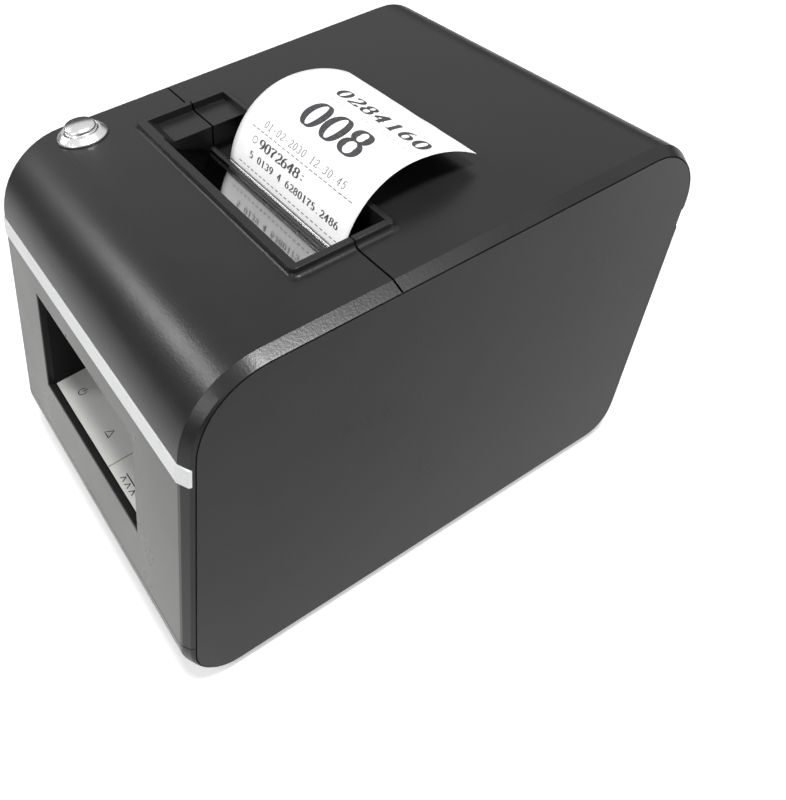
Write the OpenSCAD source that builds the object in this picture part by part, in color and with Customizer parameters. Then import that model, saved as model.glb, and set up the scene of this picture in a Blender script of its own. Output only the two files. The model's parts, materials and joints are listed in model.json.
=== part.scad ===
// Countertop queue ticket printer for 58 mm paper rolls, built as separate pieces.
// +Z is up and -Y is the front. The origin lies on the counter under the middle of the casing.
// Profiles are drawn as [y, z] pairs and extruded along X.

/* [Casing] */
// Width over the two side plates
casing_w = 124; // [122:1:128]
// Height of the casing above its feet
casing_h = 95.4; // [95:0.1:97]
// Length of the casing along the counter
casing_len = 151; // [150:1:154]
// Angle by which the front and rear faces lean back
lean = 15.2; // [14.8:0.1:15.6]
// Thickness of the moulded walls
wall = 2.2; // [2:0.1:2.4]
// Height of the rubber feet
feet_h = 1.8; // [1.5:0.1:2.2]
// Height of the line between base tray and covers
base_line = 18.2; // [17:0.1:18.4]
// Corner radii of the side profile: front low, rear low, rear top, front top
corner_r = [12.5, 12.5, 16.5, 25];

/* [Side plates and trim] */
// Width of the bevel round each side of the casing
bevel_w = 3.5; // [3:0.1:4]
// Thickness of a side plate
plate_t = 2.3; // [2:0.1:2.6]
// Gap all round a side plate
plate_gap = 0.3; // [0.2:0.05:0.4]
// Height of the middle of the silver trim strip
strip_z = 75.7; // [74:0.1:77]
// Height of the trim strip along the face
strip_h = 5.2; // [4:0.1:6]

/* [Front window] */
// Left edge of the window
window_x0 = -35.2; // [-38:0.1:-33]
// Right edge of the window
window_x1 = 33; // [30:0.1:35]
// Lower edge of the window
window_z0 = 34.8; // [34:0.1:36]
// Upper edge of the window
window_z1 = 66.5; // [64:0.1:67]
// Depth of the recess behind the window
window_depth = 24; // [23:0.5:25]
// Width of the feed key on the control panel
feed_key_w = 26; // [22:0.5:28]
// Travel of the feed key
feed_travel = 0.7; // [0.4:0.1:0.8]

/* [Ticket outlet] */
// Line across the top where the lid starts
split_y = -9.6; // [-10:0.1:-9.4]
// Gap between the lid and the front cover
split_gap = 0.5; // [0.4:0.1:0.6]
// Left and right foot of the raised rim round the outlet
outlet_x = [-44.4, 45];
// Front and rear foot of the rim
outlet_y = [-27.6, 3.3];
// Height of the rim over the top of the casing
rim_h = 1.95; // [1.5:0.05:2.1]
// Left and right walls of the deep slot
slot_x = [-28.7, 41.5];
// Foot of the left slot wall, which leans in under the shelf
slot_foot_x = -32; // [-33:0.1:-30]
// Front and rear walls of the deep slot
slot_y = [-23.9, 0.15];
// Left wall of the shelf beside the slot
shelf_x = -40.5; // [-41:0.1:-40]

/* [Paper and mechanism] */
// Width of the ticket paper
paper_w = 58; // [57:0.5:58]
// Radius of the rubber platen
platen_r = 5.5; // [5.3:0.1:5.5]
// Radius of the paper roll
roll_r = 25; // [20:0.5:25]
// Radius of the cardboard core
core_r = 6.6; // [6:0.1:8]
// Opening angle of the lid
lid_open = 90; // [60:5:90]

/* [Ticket button] */
// Place of the button on the top cover
button_at = [-49.8, -39.5];
// Radius of the steel flange
button_r = 7.1; // [6.8:0.1:7.4]
// Radius of the push cap
cap_r = 4.5; // [4:0.1:4.8]
// Travel of the push cap
button_travel = 1.5; // [1:0.1:1.6]

/* [Hidden] */
arc_steps = 12;
half_w = casing_w / 2;
top_z = feet_h + casing_h;
slope = tan(lean);
wall_y = wall / cos(lean);

function unit(v) = v / norm(v);

// Points of the arc with radius r that rounds the corner b between a and c
function corner_arc(a, b, c, r) =
  let (u = unit(a - b), v = unit(c - b), half = acos(u * v) / 2,
       centre = b + unit(u + v) * r / sin(half),
       start = b + u * r / tan(half) - centre,
       finish = b + v * r / tan(half) - centre,
       a0 = atan2(start.y, start.x),
       sweep = (atan2(finish.y, finish.x) - a0 + 540) % 360 - 180)
  [for (i = [0:arc_steps]) centre + r * [cos(a0 + sweep * i / arc_steps), sin(a0 + sweep * i / arc_steps)]];

function rounded(pts, radii) =
  let (n = len(pts))
  [for (i = [0:n - 1]) each corner_arc(pts[(i + n - 1) % n], pts[i], pts[(i + 1) % n], radii[i])];

function arc_points(centre, r, a0, a1, steps) =
  [for (i = [0:steps]) centre + r * [cos(a0 + (a1 - a0) * i / steps), sin(a0 + (a1 - a0) * i / steps)]];

// Side profile, drawn in by [front, rear, low, high] with corner radii r
function profile_at(y0, inset, r) =
  let (low = feet_h + inset[2], high = top_z - inset[3])
  rounded([[y0 + inset[0] + slope * (low - feet_h), low],
           [y0 + casing_len - inset[1] + slope * (low - feet_h), low],
           [y0 + casing_len - inset[1] + slope * (high - feet_h), high],
           [y0 + inset[0] + slope * (high - feet_h), high]], r);

raw_y = [for (p = profile_at(0, [0, 0, 0, 0], corner_r)) p.x];
front_y = -(min(raw_y) + max(raw_y)) / 2;

function face_y(z) = front_y + slope * (z - feet_h);
function rear_y(z) = face_y(z) + casing_len;
function side_profile(inset, shrink) = profile_at(front_y, inset, [for (r = corner_r) r - shrink]);

outer_profile = side_profile([0, 0, 0, 0], 0);
bevel_profile = side_profile([1.6, 1.6, 0.8, 1.35], 1.3);
edge_profile = side_profile([2.8, 3, 1, 1.7], 2.6);
pocket_profile = side_profile([2.7, 2.9, 0.9, 1.6], 2.5);
plate_inset = [2.7, 2.9, 0.9, 1.6] + plate_gap * [1, 1, 1, 1];
plate_profile = side_profile(plate_inset, 2.8);
inner_profile = side_profile([wall_y, wall_y, wall, wall], 2.2);
band_profile = side_profile([12.5, 12.5, 12, 12], 8);
bevel_x = half_w - 0.6;
flat_x = half_w - bevel_w;
flange_x = [half_w - 5, half_w - 2.6];
plate_x = half_w - plate_t;

// Ticket path: nip between print head and platen, then the exit line and the curl
web_t = 0.3;
paper_x = 6.5;
exit_lean = 20;
exit_dir = [sin(exit_lean), cos(exit_lean)];
tear_point = [-9.15, 89.6];
// It leaves the nip upright, and bends back to its exit lean below the tear bar
bend_r = 15;
bend_start = tear_point - bend_r * [1 - cos(exit_lean), sin(exit_lean)];
nip = bend_start - [0, 5.6];
platen_c = nip + [platen_r + 0.3, 0];
paper_edges = [paper_x - paper_w / 2, paper_x + paper_w / 2];

// Paper roll and the bucket that it lies in
bucket_r = 29;
bucket_t = 1.8;
bucket_c = [38, 58];
roll_c = bucket_c - [0, bucket_r - roll_r - 0.3];
bucket_x = [paper_x - 31.7, paper_x + 31.7];
cheek_t = 2;
// Straight stretch of paper that touches both roll and platen from below
web_roll_r = roll_r + 0.45;
web_span = platen_c - roll_c;
web_normal_a = atan2(web_span.y, web_span.x) - acos((platen_r + 0.3 - web_roll_r) / norm(web_span));
web_normal = [cos(web_normal_a), sin(web_normal_a)];
web_dir = [-web_normal.y, web_normal.x];

// Gear train, left of the left cheek
gear_m = 0.6;
platen_teeth = 18;
idler_teeth = 44;
pinion_teeth = 14;
gear_x = [bucket_x[0] - 6, bucket_x[0] - 3];
idler_a = 215;
motor_a = 225;
centre_play = 0.1;
idler_c = platen_c + (gear_m * (platen_teeth + idler_teeth) / 2 + centre_play) * [cos(idler_a), sin(idler_a)];
motor_c = idler_c + (gear_m * (idler_teeth + pinion_teeth) / 2 + centre_play) * [cos(motor_a), sin(motor_a)];
motor_r = 17.5;
shaft_r = 2;
running = 0.06;

// Print head pivot, from the nip
head_pivot_local = [-3.3, -13];
head_pivot = nip + head_pivot_local;
spring_length = 4.4;
heatsink_back = 5.3;

// Lid hinge
hinge_z = 74.5;
hinge_r = 3.4;
ear_r = 2.2;
hinge_pin_r = 1.28;
hinge = [rear_y(hinge_z) - hinge_r - 0.2, hinge_z];
rear_panel_top = hinge_z - 4.8;
lid_low = hinge_z + 0.8;
knuckle_x = 51;
ear_x = [51.6, 56.6];

screw_r = 1.5;
post_x = 50;
post_y = [-47, 34];
foot_y = [-62, 46];
foot_x = 45;
chassis_z = 8;
chassis_screw_y = [-34, 20];
board_z = 18.6;
board_t = 1.6;

well_t = 1.6;
deck_z = top_z - wall;
shelf_z = top_z - 0.1;
// Outside of the rim, from its foot up: distance in from the foot, and height
rim_steps = [[0, -0.6], [0, -0.02], [0.45, 0.07], [0.85, 0.25], [1.15, 0.5], [1.36, 0.85],
             [1.5, rim_h - 0.3], [1.62, rim_h - 0.08], [1.85, rim_h]];
lid_well_floor = 85.6;
side_floor = 88;
tear_bar_w = 1.2;
cutter_low = [tear_point.x - 0.95, tear_point.y - 1.5];
cutter_high = [slot_y[0] + 0.1, cutter_low.y + (cutter_low.x - slot_y[0] - 0.1) * tan(29)];
cutter_t = 0.8;

panel_t = 1.6;
panel_z = window_z0 - 0.6;
panel_rise = 3;
panel_y = [face_y(panel_z) + wall_y + 0.3, face_y(panel_z) + window_depth];
feed_key_x = [window_x1 - 0.2 - feed_key_w, window_x1 - 0.2];

switch_at = [49, 48];

module along_x(x0, x1) {
  translate([x0, 0, 0]) rotate([90, 0, 90]) linear_extrude(x1 - x0) children();
}

module block(low, high) {
  translate(low) cube(high - low);
}

module rod_x(at, r, x0, x1, fn = 48) {
  translate([x0, at.x, at.y]) rotate([0, 90, 0]) cylinder(r = r, h = x1 - x0, $fn = fn);
}

module rod_z(at, r, z0, z1, fn = 48) {
  translate([at.x, at.y, z0]) cylinder(r = r, h = z1 - z0, $fn = fn);
}

// A rounded rectangle from corner low to corner high
module round_rect(low, high, r) {
  polygon(rounded([low, [high.x, low.y], high, [low.x, high.y]], [r, r, r, r]));
}

// Places children on the front face at height z, with -Y pointing out of the face
module on_face(z) {
  translate([0, face_y(z), z]) rotate([-lean, 0, 0]) children();
}

// Places children on the rear face at height z, with +Y pointing out of the face
module on_rear(at) {
  translate([at.x, rear_y(at.y), at.y]) rotate([-lean, 0, 0]) children();
}

// Places children on the nip, with +Y towards the platen and +Z along the paper
module at_nip() {
  translate([0, nip.x, nip.y]) children();
}

// Solid through a list of [x, profile] sections with equal numbers of points
module loft(sections) {
  n = len(sections[0][1]);
  last = len(sections) - 1;
  points = [for (s = sections) for (p = s[1]) [s[0], p.x, p.y]];
  near_cap = [for (i = [0:n - 1]) i];
  far_cap = [for (i = [n - 1:-1:0]) last * n + i];
  sides = [for (k = [0:last - 1]) for (i = [0:n - 1])
    let (j = (i + 1) % n, a = k * n + i, b = k * n + j)
    each [[a, a + n, b], [b, a + n, b + n]]];
  polyhedron(points, concat([near_cap], [far_cap], sides));
}

module casing_solid() {
  loft([[-half_w, edge_profile], [-bevel_x, bevel_profile], [-flat_x, outer_profile],
        [flat_x, outer_profile], [bevel_x, bevel_profile], [half_w, edge_profile]]);
}

// Everything inside the casing wall, with the pockets of the side plates
module casing_hollow() {
  along_x(-flange_x[0], flange_x[0]) polygon(inner_profile);
  along_x(-half_w + 1, half_w - 1) polygon(band_profile);
  for (s = [-1, 1])
    along_x(s < 0 ? -half_w - 1 : flange_x[1], s < 0 ? -flange_x[1] : half_w + 1)
      polygon(pocket_profile);
}

// Holes in the flanges for the pegs of the side plates
peg_r = 1.6;
peg_in = 7.5;
peg_places = [
  [face_y(60) + peg_in, 60], [face_y(32) + peg_in, 32], [-34, top_z - peg_in],
  [-45, feet_h + peg_in], [35, feet_h + peg_in], [rear_y(56) - peg_in, 56], [rear_y(30) - peg_in, 30]];

module peg_set(r) {
  for (s = [-1, 1])
    for (p = peg_places)
      rod_x(p, r, s < 0 ? -plate_x - 0.1 : flange_x[0] - 0.2, s < 0 ? -flange_x[0] + 0.2 : plate_x + 0.1, 24);
}

module casing_piece(y0, y1, z0, z1) {
  difference() {
    intersection() {
      casing_solid();
      block([-half_w - 1, y0, z0], [half_w + 1, y1, z1]);
    }
    casing_hollow();
    peg_set(peg_r + 0.1);
  }
}

function rim_outline(inset) =
  let (low = [outlet_x[0] + inset, outlet_y[0] + inset], high = [outlet_x[1] - inset, outlet_y[1] - inset])
  rounded([low, [high.x, low.y], high, [low.x, high.y]], [for (i = [0:3]) 3.1 - inset]);

// Part of the raised rim between y0 and y1
module outlet_rim(y0, y1) {
  intersection() {
    multmatrix([[0, 1, 0, 0], [0, 0, 1, 0], [1, 0, 0, 0], [0, 0, 0, 1]])
      loft([for (s = rim_steps) [top_z + s[1], rim_outline(s[0])]]);
    block([-half_w, y0, top_z - 1], [half_w, y1, top_z + rim_h + 1]);
  }
}

// Space of the deep slot, smaller by play at its two ends
module slot_space(play) {
  high = top_z + rim_h + 1;
  low = lid_well_floor - 10;
  translate([0, slot_y[1], 0]) rotate([90, 0, 0]) linear_extrude(slot_y[1] - slot_y[0]) polygon([
    [slot_foot_x + play, low], [slot_x[1] - play, low], [slot_x[1] - play, high],
    [slot_x[0] + play, high], [slot_x[0] + play, top_z], [slot_foot_x + play, tear_point.y]]);
}

// Cuts of the outlet: deep slot, and a shelf with a sloped front beside it
module outlet_cuts() {
  along_x(shelf_x, slot_x[0] + 1) polygon([
    [slot_y[0] + 2.8, shelf_z], [slot_y[1], shelf_z], [slot_y[1], top_z + rim_h + 1], [slot_y[0] - 0.8, top_z + rim_h + 1]]);
  slot_space(0);
}

// Walls that hang under the deck beside the slot, between y0 and y1
module outlet_walls(y0, y1, low) {
  block([slot_foot_x - well_t, y0, low], [slot_x[0] + 0.5, y1, deck_z + 0.2]);
  block([slot_x[1], y0, low], [slot_x[1] + well_t, y1, deck_z + 0.2]);
}

strip_plan = [
  [-half_w + 0.35, 2.2], [-bevel_x - 0.2, 1.25], [-flat_x - 0.1, -0.4], [flat_x + 0.1, -0.4],
  [bevel_x + 0.2, 1.25], [half_w - 0.35, 2.2], [bevel_x - 0.7, 2.9], [flat_x - 0.5, 0.9],
  [-flat_x + 0.5, 0.9], [-bevel_x + 0.7, 2.9]];

module strip_shape(height) {
  on_face(strip_z) translate([0, 0, -height / 2]) linear_extrude(height) polygon(strip_plan);
}

module base_tray() {
  color("#343433") difference() {
    union() {
      casing_piece(front_y - 1, -front_y + 1, 0, base_line - 0.15);
      for (x = [-1, 1]) for (y = post_y) rod_z([x * post_x, y], 4.2, feet_h + wall - 0.1, feet_h + 6);
      for (x = [bucket_x[0] - 6, bucket_x[1] + 6]) for (y = chassis_screw_y)
        rod_z([x, y], 3.6, feet_h + wall - 0.1, chassis_z);
    }
    for (x = [-1, 1]) for (y = post_y) {
      rod_z([x * post_x, y], 1.7, 0, feet_h + 7);
      rod_z([x * post_x, y], 3.2, 0, feet_h + 2.4);
    }
    for (x = [bucket_x[0] - 6, bucket_x[1] + 6]) for (y = chassis_screw_y)
      rod_z([x, y], 1.55, feet_h + 1, chassis_z + 1);
    for (x = [-1, 1]) for (y = foot_y) rod_z([x * foot_x, y], 5.1, 0, feet_h + 0.8);
    for (i = [-3:3]) block([i * 7 - 1.2, 0, 0], [i * 7 + 1.2, 30, feet_h + wall + 1]);
  }
}

// Hollow screw post inside a cover, with a rib to the front or rear wall
module cover_post(x, y, front) {
  low = base_line + 1;
  high = 33;
  rod_z([x, y], 3.6, feet_h + 6.2, high + 1);
  along_x(x - 0.9, x + 0.9) polygon(front
    ? [[face_y(low) + 1.2, low], [y, low], [y, high], [face_y(high) + 1.2, high]]
    : [[y, low], [rear_y(low) - 1.2, low], [rear_y(high) - 1.2, high], [y, high]]);
}

module front_cover() {
  color("#3a3a39") difference() {
    union() {
      casing_piece(front_y - 1, split_y - split_gap / 2, base_line + 0.15, top_z + 1);
      outlet_rim(front_y, split_y - split_gap / 2);
      outlet_walls(slot_y[0] - well_t, split_y - split_gap / 2, 86);
      block([outlet_x[0] - 1, slot_y[0] - well_t, deck_z - 2.2], [slot_x[1] + well_t, slot_y[0] + 3, deck_z + 0.2]);
      for (x = [-1, 1]) cover_post(x * post_x, post_y[0], true);
    }
    outlet_cuts();
    on_face((window_z0 + window_z1) / 2)
      block([window_x0, -3, -(window_z1 - window_z0) / 2 / cos(lean)],
            [window_x1, 6, (window_z1 - window_z0) / 2 / cos(lean)]);
    strip_shape(strip_h + 0.2);
    rod_z(button_at, 6, deck_z - 4, top_z + 1);
    for (x = [-1, 1]) rod_z([x * post_x, post_y[0]], 1.55, feet_h, 30);
  }
  color("#3a3a39") for (x = [[slot_foot_x - 0.2, slot_x[0] + 0.4], [slot_x[1] - 1.8, slot_x[1] + 0.2]])
    along_x(x[0], x[1]) polygon([
      cutter_low + [0, -cutter_t - 0.15], cutter_high + [0, -cutter_t - 0.15],
      cutter_high + [0, -cutter_t - 2.4], cutter_low + [0, -cutter_t - 1.6]]);
}

module trim_strip() {
  color("#d9dadb") strip_shape(strip_h);
}

module side_plate(s) {
  color("#454544") {
    along_x(s < 0 ? -half_w : plate_x, s < 0 ? -plate_x : half_w) polygon(plate_profile);
    for (p = peg_places)
      rod_x(p, peg_r, s < 0 ? -plate_x - 0.1 : flange_x[0], s < 0 ? -flange_x[0] : plate_x + 0.1, 24);
  }
}

module rear_panel() {
  sockets = [[-14.4, 0.4, 34.2], [5.6, 18.4, 31.5], [23.6, 33.4, 31.7]];
  color("#343433") difference() {
    union() {
      casing_piece(0, -front_y + 1, base_line + 0.15, rear_panel_top);
      for (x = [-1, 1]) cover_post(x * post_x, post_y[1], false);
      for (s = [-1, 1])
        along_x(s < 0 ? -ear_x[1] : ear_x[0], s < 0 ? -ear_x[0] : ear_x[1]) difference() {
          union() {
            translate(hinge) circle(r = ear_r, $fn = 48);
            polygon([hinge + [-ear_r - 1.2, -1], hinge + [-ear_r, 0], hinge + [-0.4, 0], hinge + [-0.4, -5.4],
                     hinge + [-1, -13], hinge + [-3, -14], hinge + [-ear_r - 1.2, -12]]);
          }
          translate(hinge) circle(r = hinge_pin_r, $fn = 48);
        }
    }
    for (s = sockets) block([s[0], 60, board_z + board_t - 0.4], [s[1], 90, s[2]]);
    on_rear(switch_at) block([-6.45, -6, -10.35], [6.45, 3, 10.35]);
    for (x = [-1, 1]) rod_z([x * post_x, post_y[1]], 1.55, feet_h, 30);
    for (i = [0:5]) on_rear([-40, 40 + i * 4]) block([-12, -6, -0.8], [12, 3, 0.8]);
  }
}

module window_liner() {
  y_in = face_y(window_z0 - 4) + wall_y + 0.1;
  y_out = face_y(window_z1 + 1.5) + wall_y + 0.1;
  back = face_y(panel_z) + window_depth;
  color("#1c1c1c") difference() {
    along_x(window_x0 - 1.5, window_x1 + 1.5)
      polygon([[y_in, window_z0 - 4], [back + 1.5, window_z0 - 4], [back + 1.5, window_z1 + 1.5], [y_out, window_z1 + 1.5]]);
    block([window_x0, front_y, panel_z - panel_t - 0.1], [window_x1, back, window_z1]);
    block([window_x0 + 1.5, front_y, window_z0 - 5], [window_x1 - 1.5, back - 1.5, window_z1]);
    block([feed_key_x[0] - 0.3, front_y, panel_z - panel_t - feed_travel - 0.4], [window_x1, back, window_z1]);
  }
  color("#1c1c1c") for (x = [window_x0 - 0.5, window_x1 - 2.5])
    block([x, back - 2, panel_z - 6.2], [x + 3, back + 1, window_z0 - 3.8]);
}

// Slab of the control panel between x0 and x1, rising to the rear
module panel_slab(x0, x1) {
  rise = (panel_y[1] - panel_y[0]) * tan(panel_rise);
  along_x(x0, x1) polygon([
    [panel_y[0], panel_z - panel_t], [panel_y[1] - 0.2, panel_z - panel_t],
    [panel_y[1] - 0.2, panel_z + rise], [panel_y[0], panel_z]]);
}

lamp_places = [[-23, panel_y[0] + 13], [-2.5, panel_y[0] + 12]];

module control_panel() {
  color("#a9aaa8") difference() {
    panel_slab(window_x0 + 0.1, feed_key_x[0] - 0.3);
    for (p = lamp_places) rod_z(p, 1.6, panel_z - 3, panel_z + 4, 24);
  }
}

module indicator_lamps() {
  color("#f4f4f0") for (p = lamp_places) {
    rod_z(p, 1.5, panel_z - 3.2, panel_z + 1.2, 24);
    translate([p.x, p.y, panel_z + 1.2]) intersection() {
      sphere(r = 1.5, $fn = 24);
      block([-2, -2, -0.1], [2, 2, 2]);
    }
  }
}

module feed_key() {
  color("#b4b5b3") {
    panel_slab(feed_key_x[0], feed_key_x[1]);
    rod_z([feed_key_x[0] + feed_key_w / 2, panel_y[0] + 12], 2, panel_z - panel_t - 1, panel_z - 1, 24);
  }
}

module feed_switch() {
  at = [feed_key_x[0] + feed_key_w / 2, panel_y[0] + 12];
  color("#202020") {
    block([at.x - 3, at.y - 3, panel_z - 6.2], [at.x + 3, at.y + 3, panel_z - 4.2]);
    rod_z(at, 1.6, panel_z - 4.3, panel_z - panel_t - 1 - feed_travel - 0.15, 24);
  }
}

module panel_board() {
  color("#2f6b3c")
    block([window_x0 - 1, panel_y[0] + 3, panel_z - 7.8], [window_x1 + 1, panel_y[1], panel_z - 6.2]);
  color("#2f6b3c") for (p = lamp_places) rod_z(p, 1.4, panel_z - 6.3, panel_z - 3.4, 24);
}

module button_housing() {
  color("#b9bab8") difference() {
    union() {
      rod_z(button_at, button_r, top_z, top_z + 1.1, 64);
      translate([button_at.x, button_at.y, top_z + 1.1]) cylinder(r1 = button_r, r2 = button_r - 0.9, h = 0.9, $fn = 64);
      rod_z(button_at, 5.9, top_z - 18, top_z + 0.5, 64);
      for (x = [-2, 2]) block([button_at.x + x - 0.4, button_at.y - 1.4, top_z - 22], [button_at.x + x + 0.4, button_at.y + 1.4, top_z - 17]);
    }
    rod_z(button_at, cap_r + running, top_z - 8, top_z + 3, 64);
  }
}

module button_nut() {
  color("#b9bab8") difference() {
    translate([button_at.x, button_at.y, deck_z - 2.9]) rotate(30) cylinder(d = 12.6 / cos(30), h = 2.5, $fn = 6);
    rod_z(button_at, 5.95, deck_z - 4, deck_z + 1, 64);
  }
}

module button_cap() {
  color("#c4c5c3") {
    rod_z(button_at, cap_r, top_z - 3.5, top_z + 3.1, 64);
    translate([button_at.x, button_at.y, top_z + 3.1]) cylinder(r1 = cap_r, r2 = cap_r - 0.5, h = 0.5, $fn = 64);
  }
}

module button_spring() {
  color("silver") difference() {
    rod_z(button_at, 3.2, top_z - 8, top_z - 3.5, 32);
    rod_z(button_at, 2.5, top_z - 9, top_z - 3, 32);
  }
}

cheek_outline = [
  [-50, chassis_z], [50, chassis_z], [50, 30], [28, 40], [13, 72], [4.6, platen_c.y + 3.4],
  [-17, platen_c.y + 3.4], [-31, 76], [-50, 64]];

module cheek(x0, x1, bushing_slot) {
  along_x(x0, x1) difference() {
    polygon(cheek_outline);
    translate(platen_c) circle(r = 4.4, $fn = 48);
    translate(platen_c + [-4.4, 0]) square([9.4, 12]);
    translate(head_pivot) circle(r = 1.52, $fn = 32);
    if (bushing_slot) {
      translate(idler_c) circle(r = 1.52, $fn = 32);
      translate(motor_c) circle(r = 7.5, $fn = 48);
    }
  }
}

module chassis_frame() {
  color("#8f9295") {
    cheek(bucket_x[0] - cheek_t, bucket_x[0], true);
    cheek(bucket_x[1], bucket_x[1] + cheek_t, false);
    block([bucket_x[0] - 0.1, -48, chassis_z], [bucket_x[1] + 0.1, 50, chassis_z + 2]);
    spring_seat = nip.x - heatsink_back - spring_length - 0.75;
    block([bucket_x[0] - 0.1, spring_seat - 1.8, nip.y - 5], [bucket_x[1] + 0.1, spring_seat, nip.y + 5]);
    for (x = [bucket_x[0] + 5, bucket_x[1] - 5]) for (y = [4, 46]) rod_z([x, y], 2.6, chassis_z + 1.9, board_z, 24);
    for (s = [-1, 1]) for (y = chassis_screw_y)
      difference() {
        block([s < 0 ? bucket_x[0] - 9.6 : bucket_x[1] + cheek_t - 0.1, y - 4, chassis_z],
              [s < 0 ? bucket_x[0] - cheek_t + 0.1 : bucket_x[1] + 9.6, y + 4, chassis_z + 1.6]);
        rod_z([s < 0 ? bucket_x[0] - 6 : bucket_x[1] + 6, y], 1.6, chassis_z - 1, chassis_z + 3, 24);
      }
  }
}

module chassis_screws() {
  color("#c8c8c8") for (x = [bucket_x[0] - 6, bucket_x[1] + 6]) for (y = chassis_screw_y) {
    rod_z([x, y], screw_r, feet_h + 1.2, chassis_z + 2, 24);
    rod_z([x, y], 2.7, chassis_z + 1.6, chassis_z + 3.2, 24);
  }
}

// Outer path of the bucket trough, offset r from its centre
function trough_path(r) = concat(
  [bucket_c - r * web_normal + 27 * web_dir],
  arc_points(bucket_c, r, web_normal_a + 180, 360, 14),
  [[bucket_c.x + r, bucket_c.y + 17]]);

function reversed(list) = [for (i = [len(list) - 1:-1:0]) list[i]];

module paper_bucket() {
  color("#3c3c3c") {
    along_x(bucket_x[0], bucket_x[1])
      polygon(concat(trough_path(bucket_r), reversed(trough_path(bucket_r + bucket_t))));
    for (x = [bucket_x[0], bucket_x[1] - 2]) along_x(x, x + 2) polygon(trough_path(bucket_r + 0.5));
  }
}

module paper_roll() {
  color("#f4f4f2") along_x(paper_edges[0] + 0.2, paper_edges[1] - 0.2) difference() {
    translate(roll_c) circle(r = roll_r, $fn = 96);
    translate(roll_c) circle(r = core_r, $fn = 64);
  }
}

module roll_core() {
  color("#b49a78") along_x(paper_edges[0] + 0.2, paper_edges[1] - 0.2) difference() {
    translate(roll_c) circle(r = core_r, $fn = 64);
    translate(roll_c) circle(r = core_r - 1.4, $fn = 64);
  }
}

// Middle line of the paper from the roll, round the platen and up to the tear bar
web_path = concat(
  [roll_c - web_roll_r * web_normal],
  arc_points(platen_c, platen_r + 0.3, web_normal_a + 180, 180, 8),
  [bend_start],
  [for (i = [1:5]) let (a = (exit_lean - 4.5) * i / 5) bend_start + bend_r * [1 - cos(a), sin(a)]]);

function path_normal(path, i) =
  let (d = unit(path[min(i + 1, len(path) - 1)] - path[max(i - 1, 0)])) [-d.y, d.x];

function ribbon(path, t) = concat(
  [for (i = [0:len(path) - 1]) path[i] + path_normal(path, i) * t / 2],
  [for (i = [len(path) - 1:-1:0]) path[i] - path_normal(path, i) * t / 2]);

module paper_web() {
  color("#f4f4f2") along_x(paper_edges[0], paper_edges[1]) polygon(ribbon(web_path, web_t));
}

// The ticket leaves along the exit line, bends back over the lid and ends nearly level
curl_r = [25.5, 23, 33.5];
curl_a = [exit_lean, 49.5, 90, 123.5];

function curl_arc(start, r, a0, a1, steps) =
  [for (i = [1:steps]) let (a = a0 + (a1 - a0) * i / steps) start + r * [cos(a0) - cos(a), sin(a) - sin(a0)]];

curl_low = tear_point + 0.2 * exit_dir;
curl_mid = curl_arc(curl_low, curl_r[0], curl_a[0], curl_a[1], 6);
curl_top = curl_arc(curl_mid[5], curl_r[1], curl_a[1], curl_a[2], 8);
curl_end = curl_arc(curl_top[7], curl_r[2], curl_a[2], curl_a[3], 5);
ticket_path = concat([curl_low], curl_mid, curl_top, curl_end);

module ticket() {
  color("#fbfbfa") along_x(paper_edges[0], paper_edges[1]) polygon(ribbon(ticket_path, web_t));
}

module lid_cover() {
  color("#454544") difference() {
    union() {
      casing_piece(split_y + split_gap / 2, -front_y + 1, lid_low, top_z + 1);
      outlet_rim(split_y + split_gap / 2, -front_y);
      outlet_walls(split_y + split_gap / 2, slot_y[1] + well_t, side_floor - well_t);
      block([slot_foot_x - well_t, slot_y[1], lid_well_floor - well_t], [slot_x[1] + well_t, slot_y[1] + well_t, deck_z + 0.2]);
      rod_x(hinge, hinge_r, -knuckle_x, knuckle_x);
      for (x = bracket_screw_x) rod_z([x, bracket_screw_y], 3.2, lid_well_floor, deck_z + 0.2, 32);
    }
    outlet_cuts();
    rod_x(hinge, hinge_pin_r + running, -knuckle_x - 1, knuckle_x + 1);
    for (s = [-1, 1])
      block([s < 0 ? -ear_x[1] - 0.4 : ear_x[0] - 0.4, hinge.x - 8, hinge_z - 1],
            [s < 0 ? -ear_x[0] + 0.4 : ear_x[1] + 0.4, hinge.x + ear_r + 0.4, hinge_z + ear_r + 0.4]);
    for (x = bracket_screw_x) rod_z([x, bracket_screw_y], 1.55, lid_well_floor - 1, deck_z - 1, 24);
  }
  color("#454544") {
    y0 = split_y + split_gap / 2;
    block([paper_edges[0] - 0.9, -1.6, lid_well_floor - well_t], [paper_edges[1] + 0.9, slot_y[1] + 0.1, lid_well_floor]);
    block([slot_foot_x - 0.2, y0, side_floor - well_t], [paper_edges[0] - 0.8, slot_y[1] + 0.1, side_floor]);
    block([paper_edges[1] + 0.8, y0, side_floor - well_t], [slot_x[1] + 0.2, slot_y[1] + 0.1, side_floor]);
  }
}

bracket_screw_x = [paper_x - 22, paper_x + 22];
bracket_screw_y = 8;
bracket_t = 1.4;

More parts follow.
